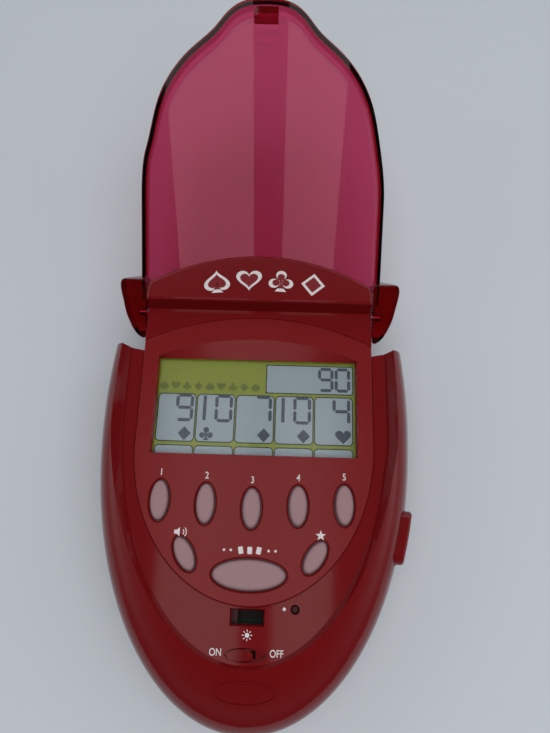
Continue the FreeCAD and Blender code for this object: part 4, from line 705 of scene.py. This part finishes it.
def make_title():
    """Four suits in white outline on the title block."""
    lower, upper = [], []
    for k, kind in enumerate(SUITS):
        aside = k - (len(SUITS) - 1) / 2.0
        x = TITLE_MIDDLE[0] + aside * TITLE_PITCH
        y = TITLE_MIDDLE[1] - TITLE_SAG * abs(aside)
        lean = -TITLE_LEAN * aside
        for outline in suit(kind):
            lower.append(placed(outline, x, y, TITLE_SIZE, lean))
            upper.append(placed(outline, x, y, TITLE_SIZE * TITLE_INSIDE, lean))
    flat_piece("title_outline", lower, title_height(INK), ink_white)
    flat_piece("title_inside", upper, title_height(2.0 * INK), ink_red)


make_labels()
make_icons()
make_title()


# Table, lights and camera

def make_table():
    """Pale flat table top."""
    material = finish_material("table_top", TABLE_COLOUR, 0.62, mottle=0.05, size=14.0, grain=0.06,
                               grain_size=900.0, scratches=0.0, specular=0.3)
    mesh = bpy.data.meshes.new("table")
    corners = rectangle(-TABLE_HALF, TABLE_HALF, -TABLE_HALF, TABLE_HALF)
    mesh.from_pydata([(x, y, TABLE_Z) for x, y in corners], [], [(0, 1, 2, 3)])
    mesh.materials.append(material)
    table = bpy.data.objects.new("table", mesh)
    bpy.context.scene.collection.objects.link(table)


def soft_light(name, width, length, radiance, place):
    """Rectangle that shines down with an even radiance."""
    lamp = bpy.data.lights.new(name, "AREA")
    lamp.shape = "RECTANGLE"
    lamp.size = width * MM
    lamp.size_y = length * MM
    lamp.energy = math.pi * radiance * lamp.size * lamp.size_y
    holder = bpy.data.objects.new(name, lamp)
    holder.location = Vector(place) * MM
    bpy.context.scene.collection.objects.link(holder)
    return holder


def make_lights():
    """The two window lights and the fill light."""
    length = WINDOW_Y[1] - WINDOW_Y[0]
    middle_y = (WINDOW_Y[0] + WINDOW_Y[1]) / 2.0
    for x0, x1 in WINDOW_SPANS:
        place = ((x0 + x1) / 2.0, middle_y, WINDOW_HEIGHT)
        soft_light("window_light", x1 - x0, length, WINDOW_RADIANCE, place)
    fill = soft_light("fill_light", FILL_SIZE, FILL_SIZE, FILL_RADIANCE, FILL_PLACE)
    fill.visible_glossy = False


def ramp(nodes, links, source, low, high, at_low, at_high):
    """Smooth step from one value to another while the source goes from low to high."""
    step = nodes.new("ShaderNodeMapRange")
    step.interpolation_type = "SMOOTHSTEP"
    for name, value in (("From Min", low), ("From Max", high), ("To Min", at_low), ("To Max", at_high)):
        step.inputs[name].default_value = value
    links.new(source, step.inputs["Value"])
    return step.outputs["Result"]


def make_world():
    """Even room colour, with its strength as the product of the three ramps."""
    world = bpy.data.worlds.new("room")
    world.use_nodes = True
    nodes, links = world.node_tree.nodes, world.node_tree.links
    background = nodes["Background"]
    background.inputs["Color"].default_value = (*ROOM_COLOUR, 1.0)
    place = nodes.new("ShaderNodeTexCoord")
    split = nodes.new("ShaderNodeSeparateXYZ")
    links.new(place.outputs["Generated"], split.inputs["Vector"])
    light_level = ramp(nodes, links, split.outputs["Z"], *ROOM_BAND_HEIGHTS, ROOM_BAND, ROOM_OVERHEAD)
    low = ramp(nodes, links, split.outputs["Z"], *ROOM_LOW_HEIGHTS, ROOM_LOW_SHARE, 1.0)
    side = ramp(nodes, links, split.outputs["Y"], *ROOM_FOOT_SPAN, ROOM_FOOT_SHARE, 1.0)
    for share in (low, side):
        light_level = calculate(nodes, links, "MULTIPLY", light_level, share)
    links.new(light_level, background.inputs["Strength"])
    bpy.context.scene.world = world


def make_camera():
    """Looks down the face from above its foot, tilted, panned and rolled as in the photograph."""
    eye = bpy.data.cameras.new("camera")
    eye.sensor_fit = "VERTICAL"
    eye.sensor_height = SENSOR_HEIGHT
    eye.lens = CAMERA_FOCAL * SENSOR_HEIGHT / PHOTO_HEIGHT
    eye.clip_start = CAMERA_NEAR
    holder = bpy.data.objects.new("camera", eye)
    forward = Vector(CAMERA_FORWARD).normalized()
    right = forward.cross(Vector(CAMERA_UP)).normalized()
    up = right.cross(forward)
    holder.matrix_world = Matrix.Translation(Vector(CAMERA_PLACE) * MM) @ Matrix(
        (right, up, -forward)).transposed().to_4x4()
    bpy.context.scene.collection.objects.link(holder)
    bpy.context.scene.camera = holder


make_table()
make_lights()
make_world()
make_camera()
bpy.context.scene.view_settings.view_transform = "Standard"
